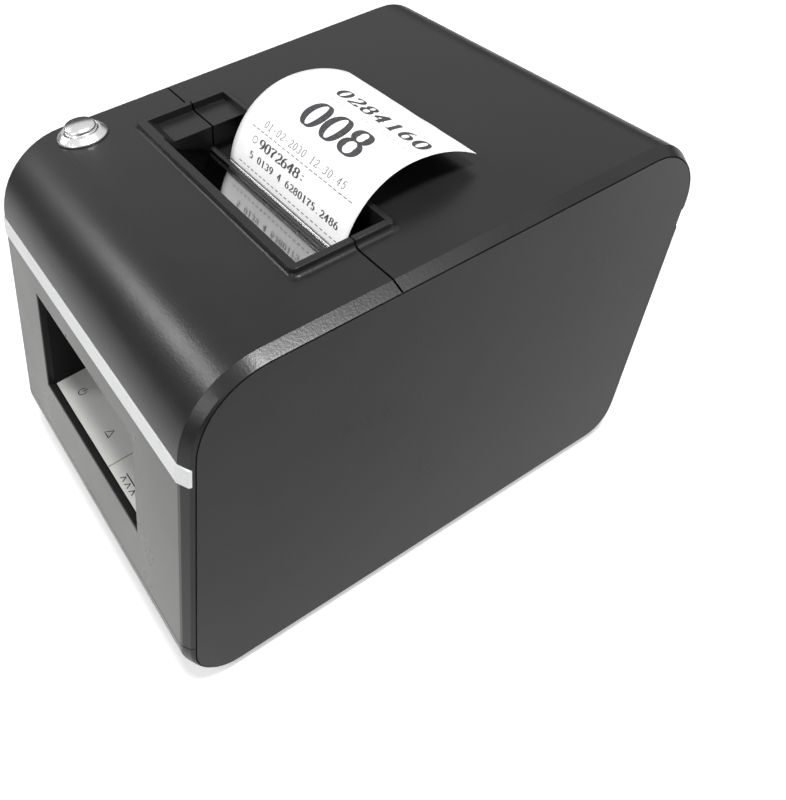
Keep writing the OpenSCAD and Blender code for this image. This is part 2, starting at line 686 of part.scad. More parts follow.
module platen_bracket() {
  plate_top = lid_well_floor - 1.7;
  color("#a5a8aa") difference() {
    union() {
      block([bucket_x[0] + 0.2, 0.5, plate_top - bracket_t], [bucket_x[1] - 0.2, 12, plate_top]);
      for (x = bracket_screw_x) rod_z([x, bracket_screw_y], 3.2, plate_top - 0.1, lid_well_floor, 32);
      for (x = [bucket_x[0] + 0.2, bucket_x[1] - 1.8])
        along_x(x, x + 1.6) difference() {
          union() {
            translate(platen_c) circle(r = 4.4, $fn = 48);
            polygon([platen_c + [-2, -3.9], platen_c + [3, -3.9], [12, plate_top - 3], [12, plate_top],
                     [0.5, plate_top], platen_c + [2, 3.2]]);
          }
          translate(platen_c) circle(r = shaft_r + running, $fn = 48);
        }
    }
    for (x = bracket_screw_x) rod_z([x, bracket_screw_y], 1.6, plate_top - 4, lid_well_floor + 1, 24);
  }
}

module lid_screws() {
  color("#c8c8c8") for (x = bracket_screw_x) {
    rod_z([x, bracket_screw_y], screw_r, lid_well_floor - 3, deck_z - 2, 24);
    rod_z([x, bracket_screw_y], 2.7, lid_well_floor - 1.7 - bracket_t - 1.5, lid_well_floor - 1.7 - bracket_t, 24);
  }
}

module platen_roller() {
  color("#2a2a2a") along_x(paper_edges[0] - 0.3, paper_edges[1] + 0.3) difference() {
    translate(platen_c) circle(r = platen_r, $fn = 64);
    translate(platen_c) circle(r = shaft_r, $fn = 48);
  }
}

module platen_shaft() {
  color("#c8c9cb") rod_x(platen_c, shaft_r, gear_x[0] - 0.6, bucket_x[1] + cheek_t + 1);
}

module platen_bushings() {
  color("#e8e6dc") for (x = [bucket_x[0] - cheek_t + 0.05, bucket_x[1] + 0.05])
    along_x(x, x + cheek_t - 0.1) difference() {
      translate(platen_c) circle(r = 4, $fn = 48);
      translate(platen_c) circle(r = shaft_r + running, $fn = 48);
    }
}

// Involute gear outline; phase is the angle of one tooth's middle
pressure_a = 20;
backlash_a = 0.7;
function involute(a) = tan(a) * 180 / PI - a;
function gear_points(teeth, phase) =
  let (pitch_r = gear_m * teeth / 2, base_r = pitch_r * cos(pressure_a),
       root_r = pitch_r - 1.15 * gear_m, tip_r = pitch_r + 0.85 * gear_m,
       low_r = max(base_r, root_r) + 0.01,
       half = 90 / teeth - backlash_a * 10 / teeth + involute(pressure_a),
       radii = [for (i = [0:4]) low_r + (tip_r - low_r) * i / 4],
       flank = [for (r = radii) [r, half - involute(acos(base_r / r))]])
  [for (i = [0:teeth - 1]) let (mid = phase + i * 360 / teeth) each concat(
    [root_r * [cos(mid - flank[0][1]), sin(mid - flank[0][1])]],
    [for (f = flank) f[0] * [cos(mid - f[1]), sin(mid - f[1])]],
    [for (k = [4:-1:0]) flank[k][0] * [cos(mid + flank[k][1]), sin(mid + flank[k][1])]],
    [root_r * [cos(mid + flank[0][1]), sin(mid + flank[0][1])]])];

module gear(at, teeth, phase, bore_r, hub_r) {
  along_x(gear_x[0], gear_x[1]) difference() {
    translate(at) polygon(gear_points(teeth, phase));
    translate(at) circle(r = bore_r, $fn = 48);
  }
  along_x(gear_x[1] - 0.1, gear_x[1] + 0.7) difference() {
    translate(at) circle(r = hub_r, $fn = 48);
    translate(at) circle(r = bore_r, $fn = 48);
  }
}

platen_phase = idler_a;
idler_phase = idler_a + 180 - 180 / idler_teeth;
// Tooth phase of the idler where it meets the pinion, in teeth
meet_phase = (motor_a - idler_phase) * idler_teeth / 360;
pinion_phase = motor_a + 180 - (0.5 - meet_phase) * 360 / pinion_teeth;

module platen_gear() {
  color("#e9e7df") gear(platen_c, platen_teeth, platen_phase, shaft_r, 4);
}

module idler_gear() {
  color("#e9e7df") gear(idler_c, idler_teeth, idler_phase, 1.5 + running, 3.2);
}

module idler_pin() {
  color("#c8c9cb") {
    rod_x(idler_c, 1.5, gear_x[0] - 0.2, bucket_x[0], 32);
    rod_x(idler_c, 2.4, gear_x[0] - 1.2, gear_x[0] - 0.2, 32);
  }
}

module motor_pinion() {
  color("#c9a94e") gear(motor_c, pinion_teeth, pinion_phase, 1.5, 2.8);
  color("#c8c9cb") rod_x(motor_c, 1.5, gear_x[0] - 0.5, bucket_x[0] + 6, 32);
}

module stepper_motor() {
  color("#9a9c9e") difference() {
    union() {
      rod_x(motor_c, motor_r, bucket_x[0] + 0.05, bucket_x[0] + 16, 72);
      rod_x(motor_c, 6, bucket_x[0] - 1.6, bucket_x[0] + 0.1, 48);
      for (s = [-1, 1]) rod_x(motor_c + [0, s * (motor_r + 0.5)], 3.4, bucket_x[0] + 0.05, bucket_x[0] + 1.2, 32);
    }
    rod_x(motor_c, 1.5 + running, bucket_x[0] - 3, bucket_x[0] + 7, 32);
  }
}

module print_head() {
  color("#d8d4c4") at_nip() block([paper_edges[0] + 0.5, -1.3, -9], [paper_edges[1] - 0.5, -0.35, 3.5]);
}

module head_heatsink() {
  x0 = bucket_x[0] + 1.2;
  x1 = bucket_x[1] - 1.2;
  color("#a5a8aa") at_nip() difference() {
    union() {
      block([x0, -heatsink_back, -10], [x1, -1.3, 4.5]);
      for (x = [x0, x1 - 3]) block([x, -heatsink_back, head_pivot_local.y - 2.6], [x + 3, -1.3, -9.5]);
    }
    translate([x0 - 1, head_pivot_local.x, head_pivot_local.y]) rotate([0, 90, 0])
      cylinder(r = 1.5 + running, h = x1 - x0 + 2, $fn = 32);
  }
}

module head_springs() {
  color("silver") at_nip() for (x = [paper_x - 18, paper_x + 18])
    translate([x, -heatsink_back, -1]) rotate([90, 0, 0]) difference() {
      cylinder(r = 2.6, h = spring_length, $fn = 32);
      translate([0, 0, -1]) cylinder(r = 2, h = 7, $fn = 32);
    }
}

module head_shaft() {
  color("#c8c9cb") rod_x(head_pivot, 1.5, bucket_x[0] - cheek_t - 0.4, bucket_x[1] + cheek_t + 1, 32);
}

module cutter_plate() {
  d = unit(cutter_high - cutter_low);
  n = [d.y, -d.x];
  color("#c6c8ca") intersection() {
    along_x(slot_foot_x, slot_x[1])
      polygon([cutter_low, cutter_high, cutter_high - [0, cutter_t / n.y], cutter_low - cutter_t * n]);
    slot_space(0.05);
  }
}

tooth_count = 58;
module tear_bar() {
  x0 = slot_foot_x;
  pitch = (slot_x[1] - x0) / tooth_count;
  tip = tear_point.x - 0.3;
  color("#2b2b2c") translate([0, 0, tear_point.y - 0.85]) linear_extrude(0.85) polygon(concat(
    [[x0, tip - tear_bar_w], [slot_x[1], tip - tear_bar_w]],
    [for (i = [tooth_count:-1:1]) each [[x0 + i * pitch, tip - 0.6], [x0 + (i - 0.5) * pitch, tip]]],
    [[x0, tip - 0.6]]));
}

module paper_sensor() {
  at = bucket_c - (bucket_r + bucket_t) * web_normal + 14 * web_dir;
  color("#202020") along_x(0, 8) polygon([
    at, at + 8 * web_dir, at + 8 * web_dir - 4 * web_normal, at - 4 * web_normal]);
}

module main_board() {
  color("#2f6b3c")
    block([bucket_x[0] + 1, -6, board_z], [bucket_x[1] - 1, 62, board_z + board_t]);
  color("#202020") for (c = [[-16, 6, 10, 10], [4, 4, 12, 12], [24, 8, 8, 6], [-4, 26, 6, 14], [20, 26, 10, 8]])
    block([c[0], c[1], board_z + board_t - 0.1], [c[0] + c[2], c[1] + c[3], board_z + board_t + 1.6]);
}

// Socket housing on the board, with its mouth to the rear
module socket_body(x0, x1, y0, height) {
  block([x0, y0, board_z + board_t], [x1, 67.6, board_z + board_t + height]);
}

module power_inlet() {
  z = board_z + board_t + 5.5;
  color("#202020") difference() {
    socket_body(24, 33, 54, 11);
    translate([28.5, 58, z]) rotate([-90, 0, 0]) cylinder(r = 3.2, h = 12, $fn = 48);
  }
  color("#c8c9cb") translate([28.5, 57.9, z]) rotate([-90, 0, 0]) cylinder(r = 1, h = 8, $fn = 32);
}

module usb_socket() {
  z = board_z + board_t;
  color("#b9babb") difference() {
    socket_body(6, 18, 54, 10.8);
    block([7.7, 58, z + 1.3], [16.3, 69, z + 9.4]);
  }
  color("#f0f0f0") block([9.2, 57.9, z + 3.8], [14.8, 66.4, z + 7]);
}

module serial_socket() {
  z = board_z + board_t;
  color("#c2b48a") difference() {
    socket_body(-14, 0, 57.6, 13.4);
    block([-12, 60, z + 2], [-2, 69, z + 9.4]);
    block([-9.5, 60, z + 9.3], [-4.5, 69, z + 11.4]);
  }
}

module switch_housing() {
  color("#1e1e1e") on_rear(switch_at) difference() {
    union() {
      block([-7.5, 0.05, -11.4], [7.5, 1.2, 11.4]);
      block([-6.3, -14, -10.2], [6.3, 0.1, 10.2]);
    }
    block([-4.9, -9.6, -9.1], [4.9, 2, 9.1]);
    translate([-8, -2.5, 0]) rotate([0, 90, 0]) cylinder(r = 1 + running, h = 16, $fn = 32);
  }
}

rocker_rest = 8;
module power_rocker() {
  color("#262626") on_rear(switch_at) translate([0, -2.5, 0]) rotate([rocker_rest, 0, 0]) {
    translate([-4.6, 0, 0]) rotate([90, 0, 90]) linear_extrude(9.2)
      polygon([[3.3, -8.1], [2.1, 0], [3.3, 8.1], [-2, 7.8], [-4.6, 0], [-2, -7.8]]);
    translate([-6, 0, 0]) rotate([0, 90, 0]) cylinder(r = 1, h = 12, $fn = 32);
  }
}

module hinge_pins() {
  color("#c8c9cb") for (s = [-1, 1])
    rod_x(hinge, hinge_pin_r, s < 0 ? -ear_x[1] : knuckle_x - 8, s < 0 ? -knuckle_x + 8 : ear_x[1]);
}

module rubber_feet() {
  color("#1d1d1d") for (x = [-1, 1]) for (y = foot_y) rod_z([x * foot_x, y], 5, 0, feet_h + 0.8);
}

module base_screws() {
  color("#c8c8c8") for (x = [-1, 1]) for (y = post_y) {
    rod_z([x * post_x, y], screw_r, feet_h + 2.2, feet_h + 18, 24);
    rod_z([x * post_x, y], 2.9, feet_h + 0.8, feet_h + 2.4, 24);
  }
}

base_tray();
front_cover();
rear_panel();
side_plate(-1);  // side_plate_left
side_plate(1);  // side_plate_right
trim_strip();
window_liner();
control_panel();
indicator_lamps();
feed_key();
feed_switch();
panel_board();
button_housing();
button_nut();
button_cap();
button_spring();
chassis_frame();
chassis_screws();
paper_bucket();
paper_roll();
roll_core();
paper_web();
ticket();
lid_cover();
platen_bracket();
lid_screws();
platen_roller();
platen_shaft();
platen_bushings();
platen_gear();
idler_gear();
idler_pin();
motor_pinion();
stepper_motor();
print_head();
head_heatsink();
head_springs();
head_shaft();
cutter_plate();
tear_bar();
paper_sensor();
main_board();
power_inlet();
usb_socket();
serial_socket();
switch_housing();
power_rocker();
hinge_pins();
rubber_feet();
base_screws();
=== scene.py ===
"""Dresses the countertop queue ticket printer: materials, lights, camera and detailed pieces.

Sizes are in millimetres unless a name says otherwise, and are turned into metres by MM.
"""
import json
import math
import random

import bpy
from mathutils import Matrix, Vector


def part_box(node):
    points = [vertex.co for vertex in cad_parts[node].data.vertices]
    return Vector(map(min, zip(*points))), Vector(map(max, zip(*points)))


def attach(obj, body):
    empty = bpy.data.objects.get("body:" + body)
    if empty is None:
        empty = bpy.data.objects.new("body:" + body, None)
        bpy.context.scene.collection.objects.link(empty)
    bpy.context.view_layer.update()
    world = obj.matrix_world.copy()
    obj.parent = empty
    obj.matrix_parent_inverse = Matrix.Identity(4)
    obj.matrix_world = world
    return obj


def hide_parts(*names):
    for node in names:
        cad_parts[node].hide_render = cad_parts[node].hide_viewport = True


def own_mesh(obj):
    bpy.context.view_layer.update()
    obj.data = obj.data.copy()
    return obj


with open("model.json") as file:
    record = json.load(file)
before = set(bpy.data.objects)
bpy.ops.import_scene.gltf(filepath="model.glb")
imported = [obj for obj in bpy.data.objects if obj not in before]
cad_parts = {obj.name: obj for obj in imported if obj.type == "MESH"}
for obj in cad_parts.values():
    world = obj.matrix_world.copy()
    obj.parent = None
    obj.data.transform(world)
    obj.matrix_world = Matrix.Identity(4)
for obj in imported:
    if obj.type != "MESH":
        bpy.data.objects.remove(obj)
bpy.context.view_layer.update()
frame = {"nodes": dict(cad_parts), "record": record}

MM = 0.001
NODES = frame["nodes"]
JOINTS = {joint["name"]: joint for joint in frame["record"]["behaviour"]["joints"]}

# How far marks lie off the plastic, and the print off the ticket
PRINT_GAP = 0.03
PRINT_LIFT = 0.02


def low(node):
    """The low corner of a node's box, in millimetres."""
    return Vector(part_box(node)[0]) / MM


def high(node):
    """The high corner of a node's box, in millimetres."""
    return Vector(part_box(node)[1]) / MM


def joint_at(name):
    """Where a joint's axis is, in millimetres."""
    return Vector(JOINTS[name]["pos_m"]) / MM


# ---- camera and light

# The camera that was fitted to the object's edges: place, direction, turn about it and lens
CAMERA_AT = Vector((186.57, -87.04, 218.04))
VIEW = Vector((-0.5948, 0.3426, -0.7272)).normalized()
ROLL = math.radians(-6.82)
FOCAL = 39.64
SENSOR = 36.0

# The room's light on the object, from overhead and at the horizon, and the same as metal sees
# it. The band between the two is given as the Z of a direction.
ROOM_LIGHT = 0.24
HORIZON_LIGHT = 0.10
LIGHT_BAND = (0.10, 0.42)
ROOM_GLOSS = 0.7
HORIZON_GLOSS = 0.05
GLOSS_BAND = (0.15, 0.42)

# How much the floor adds for the camera, close by and far off, and for metal and glass
FLOOR_LIFT = 0.41
FAR_LIFT = 1.0
LIFT_BAND_M = (0.4, 1.1)
FLOOR_GLOSS = 0.05
FLOOR_HALF_M = 3.0
WHITE = (1, 1, 1, 1)

# Points that the lights aim at, the last one on the right
RIGHT_TOP_EDGE = (61, -40, 96)
FRONT_ROUNDING = (45, -54, 94)
MIDDLE = (0, 0, 50)
SIDE_PLATE = (62, 30, 30)


def make_camera():
    level = VIEW.cross(Vector((0, 0, 1))).normalized()
    raised = level.cross(VIEW)
    right = level * math.cos(ROLL) + raised * math.sin(ROLL)
    up = right.cross(VIEW)
    turn = Matrix((right, up, -VIEW)).transposed()
    data = bpy.data.cameras.new("camera")
    data.lens = FOCAL
    data.sensor_width = SENSOR
    data.clip_start = 0.01
    camera = bpy.data.objects.new("camera", data)
    camera.matrix_world = Matrix.Translation(CAMERA_AT * MM) @ turn.to_4x4()
    bpy.context.collection.objects.link(camera)
    bpy.context.scene.camera = camera


def area_light(name, direction, distance, size, watts, target):
    """A round softbox that shines at target from that direction; distance and size in metres."""
    data = bpy.data.lights.new(name, "AREA")
    data.shape = "DISK"
    data.size = size
    data.energy = watts
    lamp = bpy.data.objects.new(name, data)
    way = Vector(direction).normalized()
    lamp.location = Vector(target) * MM + way * distance
    lamp.rotation_euler = (-way).to_track_quat("-Z", "Y").to_euler()
    bpy.context.collection.objects.link(lamp)


def backdrop_seen(tree):
    """The light path, and 1 for rays that see the backdrop: the camera's, in metal and glass."""
    path = tree.nodes.new("ShaderNodeLightPath")
    camera, glossy = path.outputs["Is Camera Ray"], path.outputs["Is Glossy Ray"]
    seen = link_math(tree, "MAXIMUM", camera, glossy)
    return path, link_math(tree, "MAXIMUM", seen, path.outputs["Is Transmission Ray"])


def mix_shaders(tree, factor, first, second):
    """first where factor is 0 and second where it is 1."""
    node = tree.nodes.new("ShaderNodeMixShader")
    for socket, value in zip(node.inputs, (factor, first, second)):
        tree.links.new(value, socket)
    return node.outputs[0]


def backdrop(tree, strength):
    """White light of that strength, which is a number or a socket."""
    node = tree.nodes.new("ShaderNodeBackground")
    node.inputs["Color"].default_value = WHITE
    if isinstance(strength, float):
        node.inputs["Strength"].default_value = strength
    else:
        tree.links.new(strength, node.inputs["Strength"])
    return node.outputs[0]


def make_world():
    """Pale studio: white to the camera, and dimmer towards the horizon for the light it gives."""
    world = bpy.data.worlds.new("studio")
    bpy.context.scene.world = world
    world.use_nodes = True
    tree = world.node_tree
    tree.nodes.clear()
    out = tree.nodes.new("ShaderNodeOutputWorld")
    coord = tree.nodes.new("ShaderNodeTexCoord")
    height = split_xyz(tree, coord.outputs["Generated"])["Z"]
    path, seen = backdrop_seen(tree)
    room = backdrop(tree, remap(tree, height, HORIZON_LIGHT, ROOM_LIGHT, *LIGHT_BAND))
    glossy = backdrop(tree, remap(tree, height, HORIZON_GLOSS, ROOM_GLOSS, *GLOSS_BAND))
    given = mix_shaders(tree, seen, room, glossy)
    both = mix_shaders(tree, path.outputs["Is Camera Ray"], given, backdrop(tree, 1.0))
    tree.links.new(both, out.inputs[0])


def make_floor():
    """White floor that keeps the shadow; it glows a little close by, and more far off."""
    mesh = bpy.data.meshes.new("floor")
    half = FLOOR_HALF_M
    corners = [(-half, -half, 0), (half, -half, 0), (half, half, 0), (-half, half, 0)]
    mesh.from_pydata(corners, [], [(0, 1, 2, 3)])
    floor = bpy.data.objects.new("floor", mesh)
    bpy.context.collection.objects.link(floor)
    mat, tree, shader = new_material("floor_white", (0.80, 0.80, 0.80), 0.9, specular=0.0)
    path, seen = backdrop_seen(tree)
    place = tree.nodes.new("ShaderNodeNewGeometry")
    reach = tree.nodes.new("ShaderNodeVectorMath")
    reach.operation = "LENGTH"
    tree.links.new(place.outputs["Position"], reach.inputs[0])
    lift = remap(tree, reach.outputs["Value"], FLOOR_LIFT, FAR_LIFT, *LIFT_BAND_M)
    to_metal = link_math(tree, "MULTIPLY", seen, FLOOR_GLOSS)
    to_camera = link_math(tree, "MULTIPLY", path.outputs["Is Camera Ray"], lift)
    glow = tree.nodes.new("ShaderNodeEmission")
    glow.inputs["Color"].default_value = WHITE
    tree.links.new(link_math(tree, "ADD", to_metal, to_camera), glow.inputs["Strength"])
    add = tree.nodes.new("ShaderNodeAddShader")
    tree.links.new(shader.outputs[0], add.inputs[0])
    tree.links.new(glow.outputs[0], add.inputs[1])
    tree.links.new(add.outputs[0], tree.nodes["out"].inputs[0])
    mesh.materials.append(mat)


def make_lights():
    area_light("overhead", (0.20, 0.14, 0.96), 1.0, 0.30, 11.0, RIGHT_TOP_EDGE)
    area_light("front_band", (-0.72, -0.44, 0.53), 1.2, 0.30, 3.0, FRONT_ROUNDING)
    area_light("right_low", (0.85, 0.95, 0.16), 0.42, 0.2, 0.75, SIDE_PLATE)
    area_light("front_low", (0.15, -1.0, 0.72), 1.2, 0.5, 3.0, MIDDLE)


# ---- material helpers

def new_material(name, colour, roughness, metallic=0.0, specular=0.5):
    """A material with one principled shader, its node tree and that shader."""
    mat = bpy.data.materials.new(name)
    mat.use_nodes = True
    tree = mat.node_tree
    tree.nodes.clear()
    out = tree.nodes.new("ShaderNodeOutputMaterial")
    out.name = "out"
    shader = tree.nodes.new("ShaderNodeBsdfPrincipled")
    shader.inputs["Base Color"].default_value = (*colour, 1)
    shader.inputs["Roughness"].default_value = roughness
    shader.inputs["Metallic"].default_value = metallic
    shader.inputs["Specular IOR Level"].default_value = specular
    tree.links.new(shader.outputs[0], out.inputs[0])
    return mat, tree, shader


def link_math(tree, kind, a, b=0):
    """A Math node's output; a and b are sockets or numbers."""
    node = tree.nodes.new("ShaderNodeMath")
    node.operation = kind
    for socket, value in zip(node.inputs, (a, b)):
        if isinstance(value, (int, float)):
            socket.default_value = value
        else:
            tree.links.new(value, socket)
    return node.outputs[0]


def split_xyz(tree, vector):
    """The X, Y and Z sockets of a vector, by name."""
    node = tree.nodes.new("ShaderNodeSeparateXYZ")
    tree.links.new(vector, node.inputs[0])
    return {axis: node.outputs[axis] for axis in "XYZ"}


def join_xyz(tree, x, y=None):
    """A vector with these sockets as its X and Y."""
    node = tree.nodes.new("ShaderNodeCombineXYZ")
    tree.links.new(x, node.inputs[0])
    if y is not None:
        tree.links.new(y, node.inputs[1])
    return node.outputs[0]


def distance(tree, first, second, centre):
    """Distance of (first, second) from centre, a pair of numbers."""
    squares = []
    for socket, middle in zip((first, second), centre):
        offset = link_math(tree, "SUBTRACT", socket, middle)
        squares.append(link_math(tree, "MULTIPLY", offset, offset))
    return link_math(tree, "SQRT", link_math(tree, "ADD", *squares))


def place_mm(tree, stretch=(1, 1, 1)):
    """Object coordinates in millimetres, times stretch."""
    coord = tree.nodes.new("ShaderNodeTexCoord")
    scale = tree.nodes.new("ShaderNodeVectorMath")
    scale.operation = "MULTIPLY"
    scale.inputs[1].default_value = [s / MM for s in stretch]
    tree.links.new(coord.outputs["Object"], scale.inputs[0])
    return scale.outputs[0]


def noise(tree, place, scale, detail=2.0, rough=0.5):
    """Noise with that many waves per millimetre."""
    node = tree.nodes.new("ShaderNodeTexNoise")
    node.inputs["Scale"].default_value = scale
    node.inputs["Detail"].default_value = detail
    node.inputs["Roughness"].default_value = rough
    tree.links.new(place, node.inputs["Vector"])
    return node.outputs["Fac"]


def remap(tree, value, lo, hi, from_lo=0.3, from_hi=0.7):
    """lo to hi as value goes from from_lo to from_hi, which by default is most noise's range."""
    node = tree.nodes.new("ShaderNodeMapRange")
    node.inputs["From Min"].default_value = from_lo
    node.inputs["From Max"].default_value = from_hi
    node.inputs["To Min"].default_value = lo
    node.inputs["To Max"].default_value = hi
    tree.links.new(value, node.inputs["Value"])
    return node.outputs[0]


def bump(tree, height, shader, depth_mm, strength=1.0):
    node = tree.nodes.new("ShaderNodeBump")
    node.inputs["Strength"].default_value = strength
    node.inputs["Distance"].default_value = depth_mm * MM
    tree.links.new(height, node.inputs["Height"])
    tree.links.new(node.outputs[0], shader.inputs["Normal"])


def blend_colour(tree, factor, first, second):
    """first where factor is 0 and second where it is 1; each a colour or a socket."""
    node = tree.nodes.new("ShaderNodeMix")
    node.data_type = "RGBA"
    tree.links.new(factor, node.inputs[0])
    for socket, value in ((node.inputs[6], first), (node.inputs[7], second)):
        if isinstance(value, tuple):
            socket.default_value = (*value, 1)
        else:
            tree.links.new(value, socket)
    return node.outputs[2]


def mottle(tree, shader, pattern, first, second, from_lo=0.3, from_hi=0.7):
    """Gives the shader a base colour from first to second, as the pattern goes."""
    tone = remap(tree, pattern, 0.0, 1.0, from_lo, from_hi)
    tree.links.new(blend_colour(tree, tone, first, second), shader.inputs["Base Color"])


def vary_roughness(tree, shader, pattern, lo, hi):
    tree.links.new(remap(tree, pattern, lo, hi), shader.inputs["Roughness"])


def shade(colour, factor):
    return tuple(min(1.0, c * factor) for c in colour)


def moulded(name, colour, roughness=0.5, grain=2.4, depth=0.03, specular=0.3, variation=0.12):
    """Moulded plastic with a fine spark texture, and a faint unevenness of tone."""
    mat, tree, shader = new_material(name, colour, roughness, specular=specular)
    place = place_mm(tree)
    fine = noise(tree, place, grain, 3.0, 0.6)
    wide = noise(tree, place, 0.045, 3.0, 0.55)
    darker, paler = shade(colour, 1 - variation), shade(colour, 1 + variation)
    base = blend_colour(tree, remap(tree, wide, 0.0, 1.0), darker, paler)
    mottle(tree, shader, fine, base, paler, 0.35, 0.65)
    vary_roughness(tree, shader, wide, roughness - 0.05, roughness + 0.05)
    bump(tree, fine, shader, depth, 0.8)
    return mat


# ---- materials

# The front face leans back, and its painted lighter tone, a painted sheen for the front light and
# floor reflection it catches, ends behind the middle of the trim strip
LEAN = math.radians(15.2)
STRIP_THICKNESS = 0.4
FACE_TOP_Z = (low("trim_strip").z + high("trim_strip").z) / 2
FACE_Y0 = (low("trim_strip").y + STRIP_THICKNESS / math.cos(LEAN)
           - math.tan(LEAN) * low("trim_strip").z)
FACE_SKIN = 0.12


def casing_plastic():
    """Near-black plastic; the flat front below the trim is painted a lighter grey, a painted sheen
    for the front light and the floor's reflection that it catches.
    """
    dark = (0.015, 0.015, 0.0147)
    # painted sheen: this lighter grey of the flat front stands for the light it catches, not a
    # paler plastic
    face = (0.110, 0.110, 0.106)
    mat, tree, shader = new_material("casing_plastic", dark, 0.30, specular=0.30)
    place = place_mm(tree)
    fine = noise(tree, place, 1.5, 2.0, 0.5)
    wide = noise(tree, place, 0.04, 3.0, 0.55)
    tone = remap(tree, wide, 0.0, 1.0)
    body = blend_colour(tree, tone, shade(dark, 0.9), shade(dark, 1.14))
    front = blend_colour(tree, tone, shade(face, 0.94), shade(face, 1.06))
    front = blend_colour(tree, remap(tree, fine, 0.0, 1.0), shade(face, 0.92), front)
    # the painted sheen covers the flat front below the middle of the trim strip
    at = split_xyz(tree, place)
    slant = link_math(tree, "MULTIPLY", at["Z"], math.tan(LEAN))
    upright = link_math(tree, "SUBTRACT", at["Y"], slant)
    behind = link_math(tree, "SUBTRACT", upright, FACE_Y0)
    on_sheen_face = link_math(tree, "LESS_THAN", behind, FACE_SKIN)
    below = link_math(tree, "LESS_THAN", at["Z"], FACE_TOP_Z)
    painted_sheen_mask = link_math(tree, "MULTIPLY", on_sheen_face, below)
    tree.links.new(blend_colour(tree, painted_sheen_mask, body, front), shader.inputs["Base Color"])
    vary_roughness(tree, shader, wide, 0.27, 0.33)
    bump(tree, fine, shader, 0.04, 0.7)
    return mat


def silver_lacquer():
    mat, tree, shader = new_material("silver_lacquer", (0.74, 0.745, 0.75), 0.34, metallic=0.35)
    flakes = noise(tree, place_mm(tree), 3.5, 2.0, 0.6)
    mottle(tree, shader, flakes, (0.68, 0.685, 0.69), (0.79, 0.795, 0.80))
    bump(tree, flakes, shader, 0.01, 0.5)
    return mat


def turned_steel():
    """Bright steel with turning marks round the button's axis."""
    mat, tree, shader = new_material("turned_steel", (0.93, 0.93, 0.935), 0.24, metallic=1.0)
    middle = (low("button_housing") + high("button_housing")) / 2
    at = split_xyz(tree, place_mm(tree))
    radius = distance(tree, at["X"], at["Y"], middle.xy)
    marks = noise(tree, join_xyz(tree, radius, at["Z"]), 9.0, 3.0, 0.6)
    vary_roughness(tree, shader, marks, 0.18, 0.32)
    bump(tree, marks, shader, 0.006, 0.6)
    return mat


def brushed_metal(name, colour, roughness, stretch=(0.15, 1, 1), grain=4.0, depth=0.006):
    """Metal with fine lines along the axis of the smallest stretch, faintly uneven in tone."""
    mat, tree, shader = new_material(name, colour, roughness, metallic=1.0)
    lines = noise(tree, place_mm(tree, stretch), grain, 3.0, 0.6)
    wide = noise(tree, place_mm(tree), 0.12, 2.0)
    vary_roughness(tree, shader, lines, roughness - 0.06, roughness + 0.1)
    mottle(tree, shader, wide, shade(colour, 0.92), shade(colour, 1.05))
    bump(tree, lines, shader, depth, 0.6)
    return mat


def polished_plate():
    mat, tree, shader = new_material("polished_plate", (0.34, 0.34, 0.345), 0.09, metallic=1.0)
    lines = noise(tree, place_mm(tree, (0.08, 1, 1)), 3.0, 2.0)
    vary_roughness(tree, shader, lines, 0.06, 0.14)
    bump(tree, lines, shader, 0.002, 0.5)
    return mat


def thermal_paper():
    mat, tree, shader = new_material("thermal_paper", (0.93, 0.93, 0.925), 0.5, specular=0.35)
    place = place_mm(tree)
    fibre = noise(tree, place, 1.6, 4.0, 0.65)
    cloud = noise(tree, place, 0.08, 2.0)
    mottle(tree, shader, cloud, (0.90, 0.90, 0.895), (0.95, 0.95, 0.945))
    bump(tree, fibre, shader, 0.012, 0.5)
    return mat


def thermal_ink():
    """Print that shows the heater dots: dark with paler specks."""
    mat, tree, shader = new_material("thermal_ink", (0.05, 0.05, 0.052), 0.55, specular=0.3)
    dots = noise(tree, place_mm(tree), 5.0, 2.0, 0.7)
    mottle(tree, shader, dots, (0.035, 0.035, 0.038), (0.30, 0.30, 0.31), 0.55, 0.75)
    bump(tree, dots, shader, 0.004, 0.4)
    return mat


def wound_paper():
    """The roll's ends show its turns as fine rings."""
    mat, tree, shader = new_material("wound_paper", (0.9, 0.9, 0.89), 0.6, specular=0.2)
    at = split_xyz(tree, place_mm(tree))
    radius = distance(tree, at["Y"], at["Z"], joint_at("roll_spin").yz)
    turns = noise(tree, join_xyz(tree, radius), 4.5, 3.0, 0.7)
    mottle(tree, shader, turns, (0.74, 0.74, 0.72), (0.93, 0.93, 0.92))
    bump(tree, turns, shader, 0.03, 0.7)
    return mat


def circuit_board():
    """Solder mask with paler copper tracks under it."""
    mat, tree, shader = new_material("circuit_board", (0.02, 0.15, 0.06), 0.35)
    brick = tree.nodes.new("ShaderNodeTexBrick")
    brick.inputs["Scale"].default_value = 0.35
    brick.inputs["Mortar Size"].default_value = 0.05
    brick.inputs["Color1"].default_value = (0.015, 0.13, 0.05, 1)
    brick.inputs["Color2"].default_value = (0.02, 0.16, 0.06, 1)
    brick.inputs["Mortar"].default_value = (0.05, 0.26, 0.1, 1)
    tree.links.new(place_mm(tree), brick.inputs["Vector"])
    tree.links.new(brick.outputs["Color"], shader.inputs["Base Color"])
    bump(tree, brick.outputs["Fac"], shader, 0.02, 0.5)
    return mat


def wound_cardboard():
    mat, tree, shader = new_material("wound_cardboard", (0.50, 0.37, 0.24), 0.85, specular=0.15)
    fibre = noise(tree, place_mm(tree, (0.3, 1, 1)), 2.0, 4.0, 0.7)
    mottle(tree, shader, fibre, (0.43, 0.31, 0.19), (0.58, 0.44, 0.30))
    bump(tree, fibre, shader, 0.05, 0.8)
    return mat


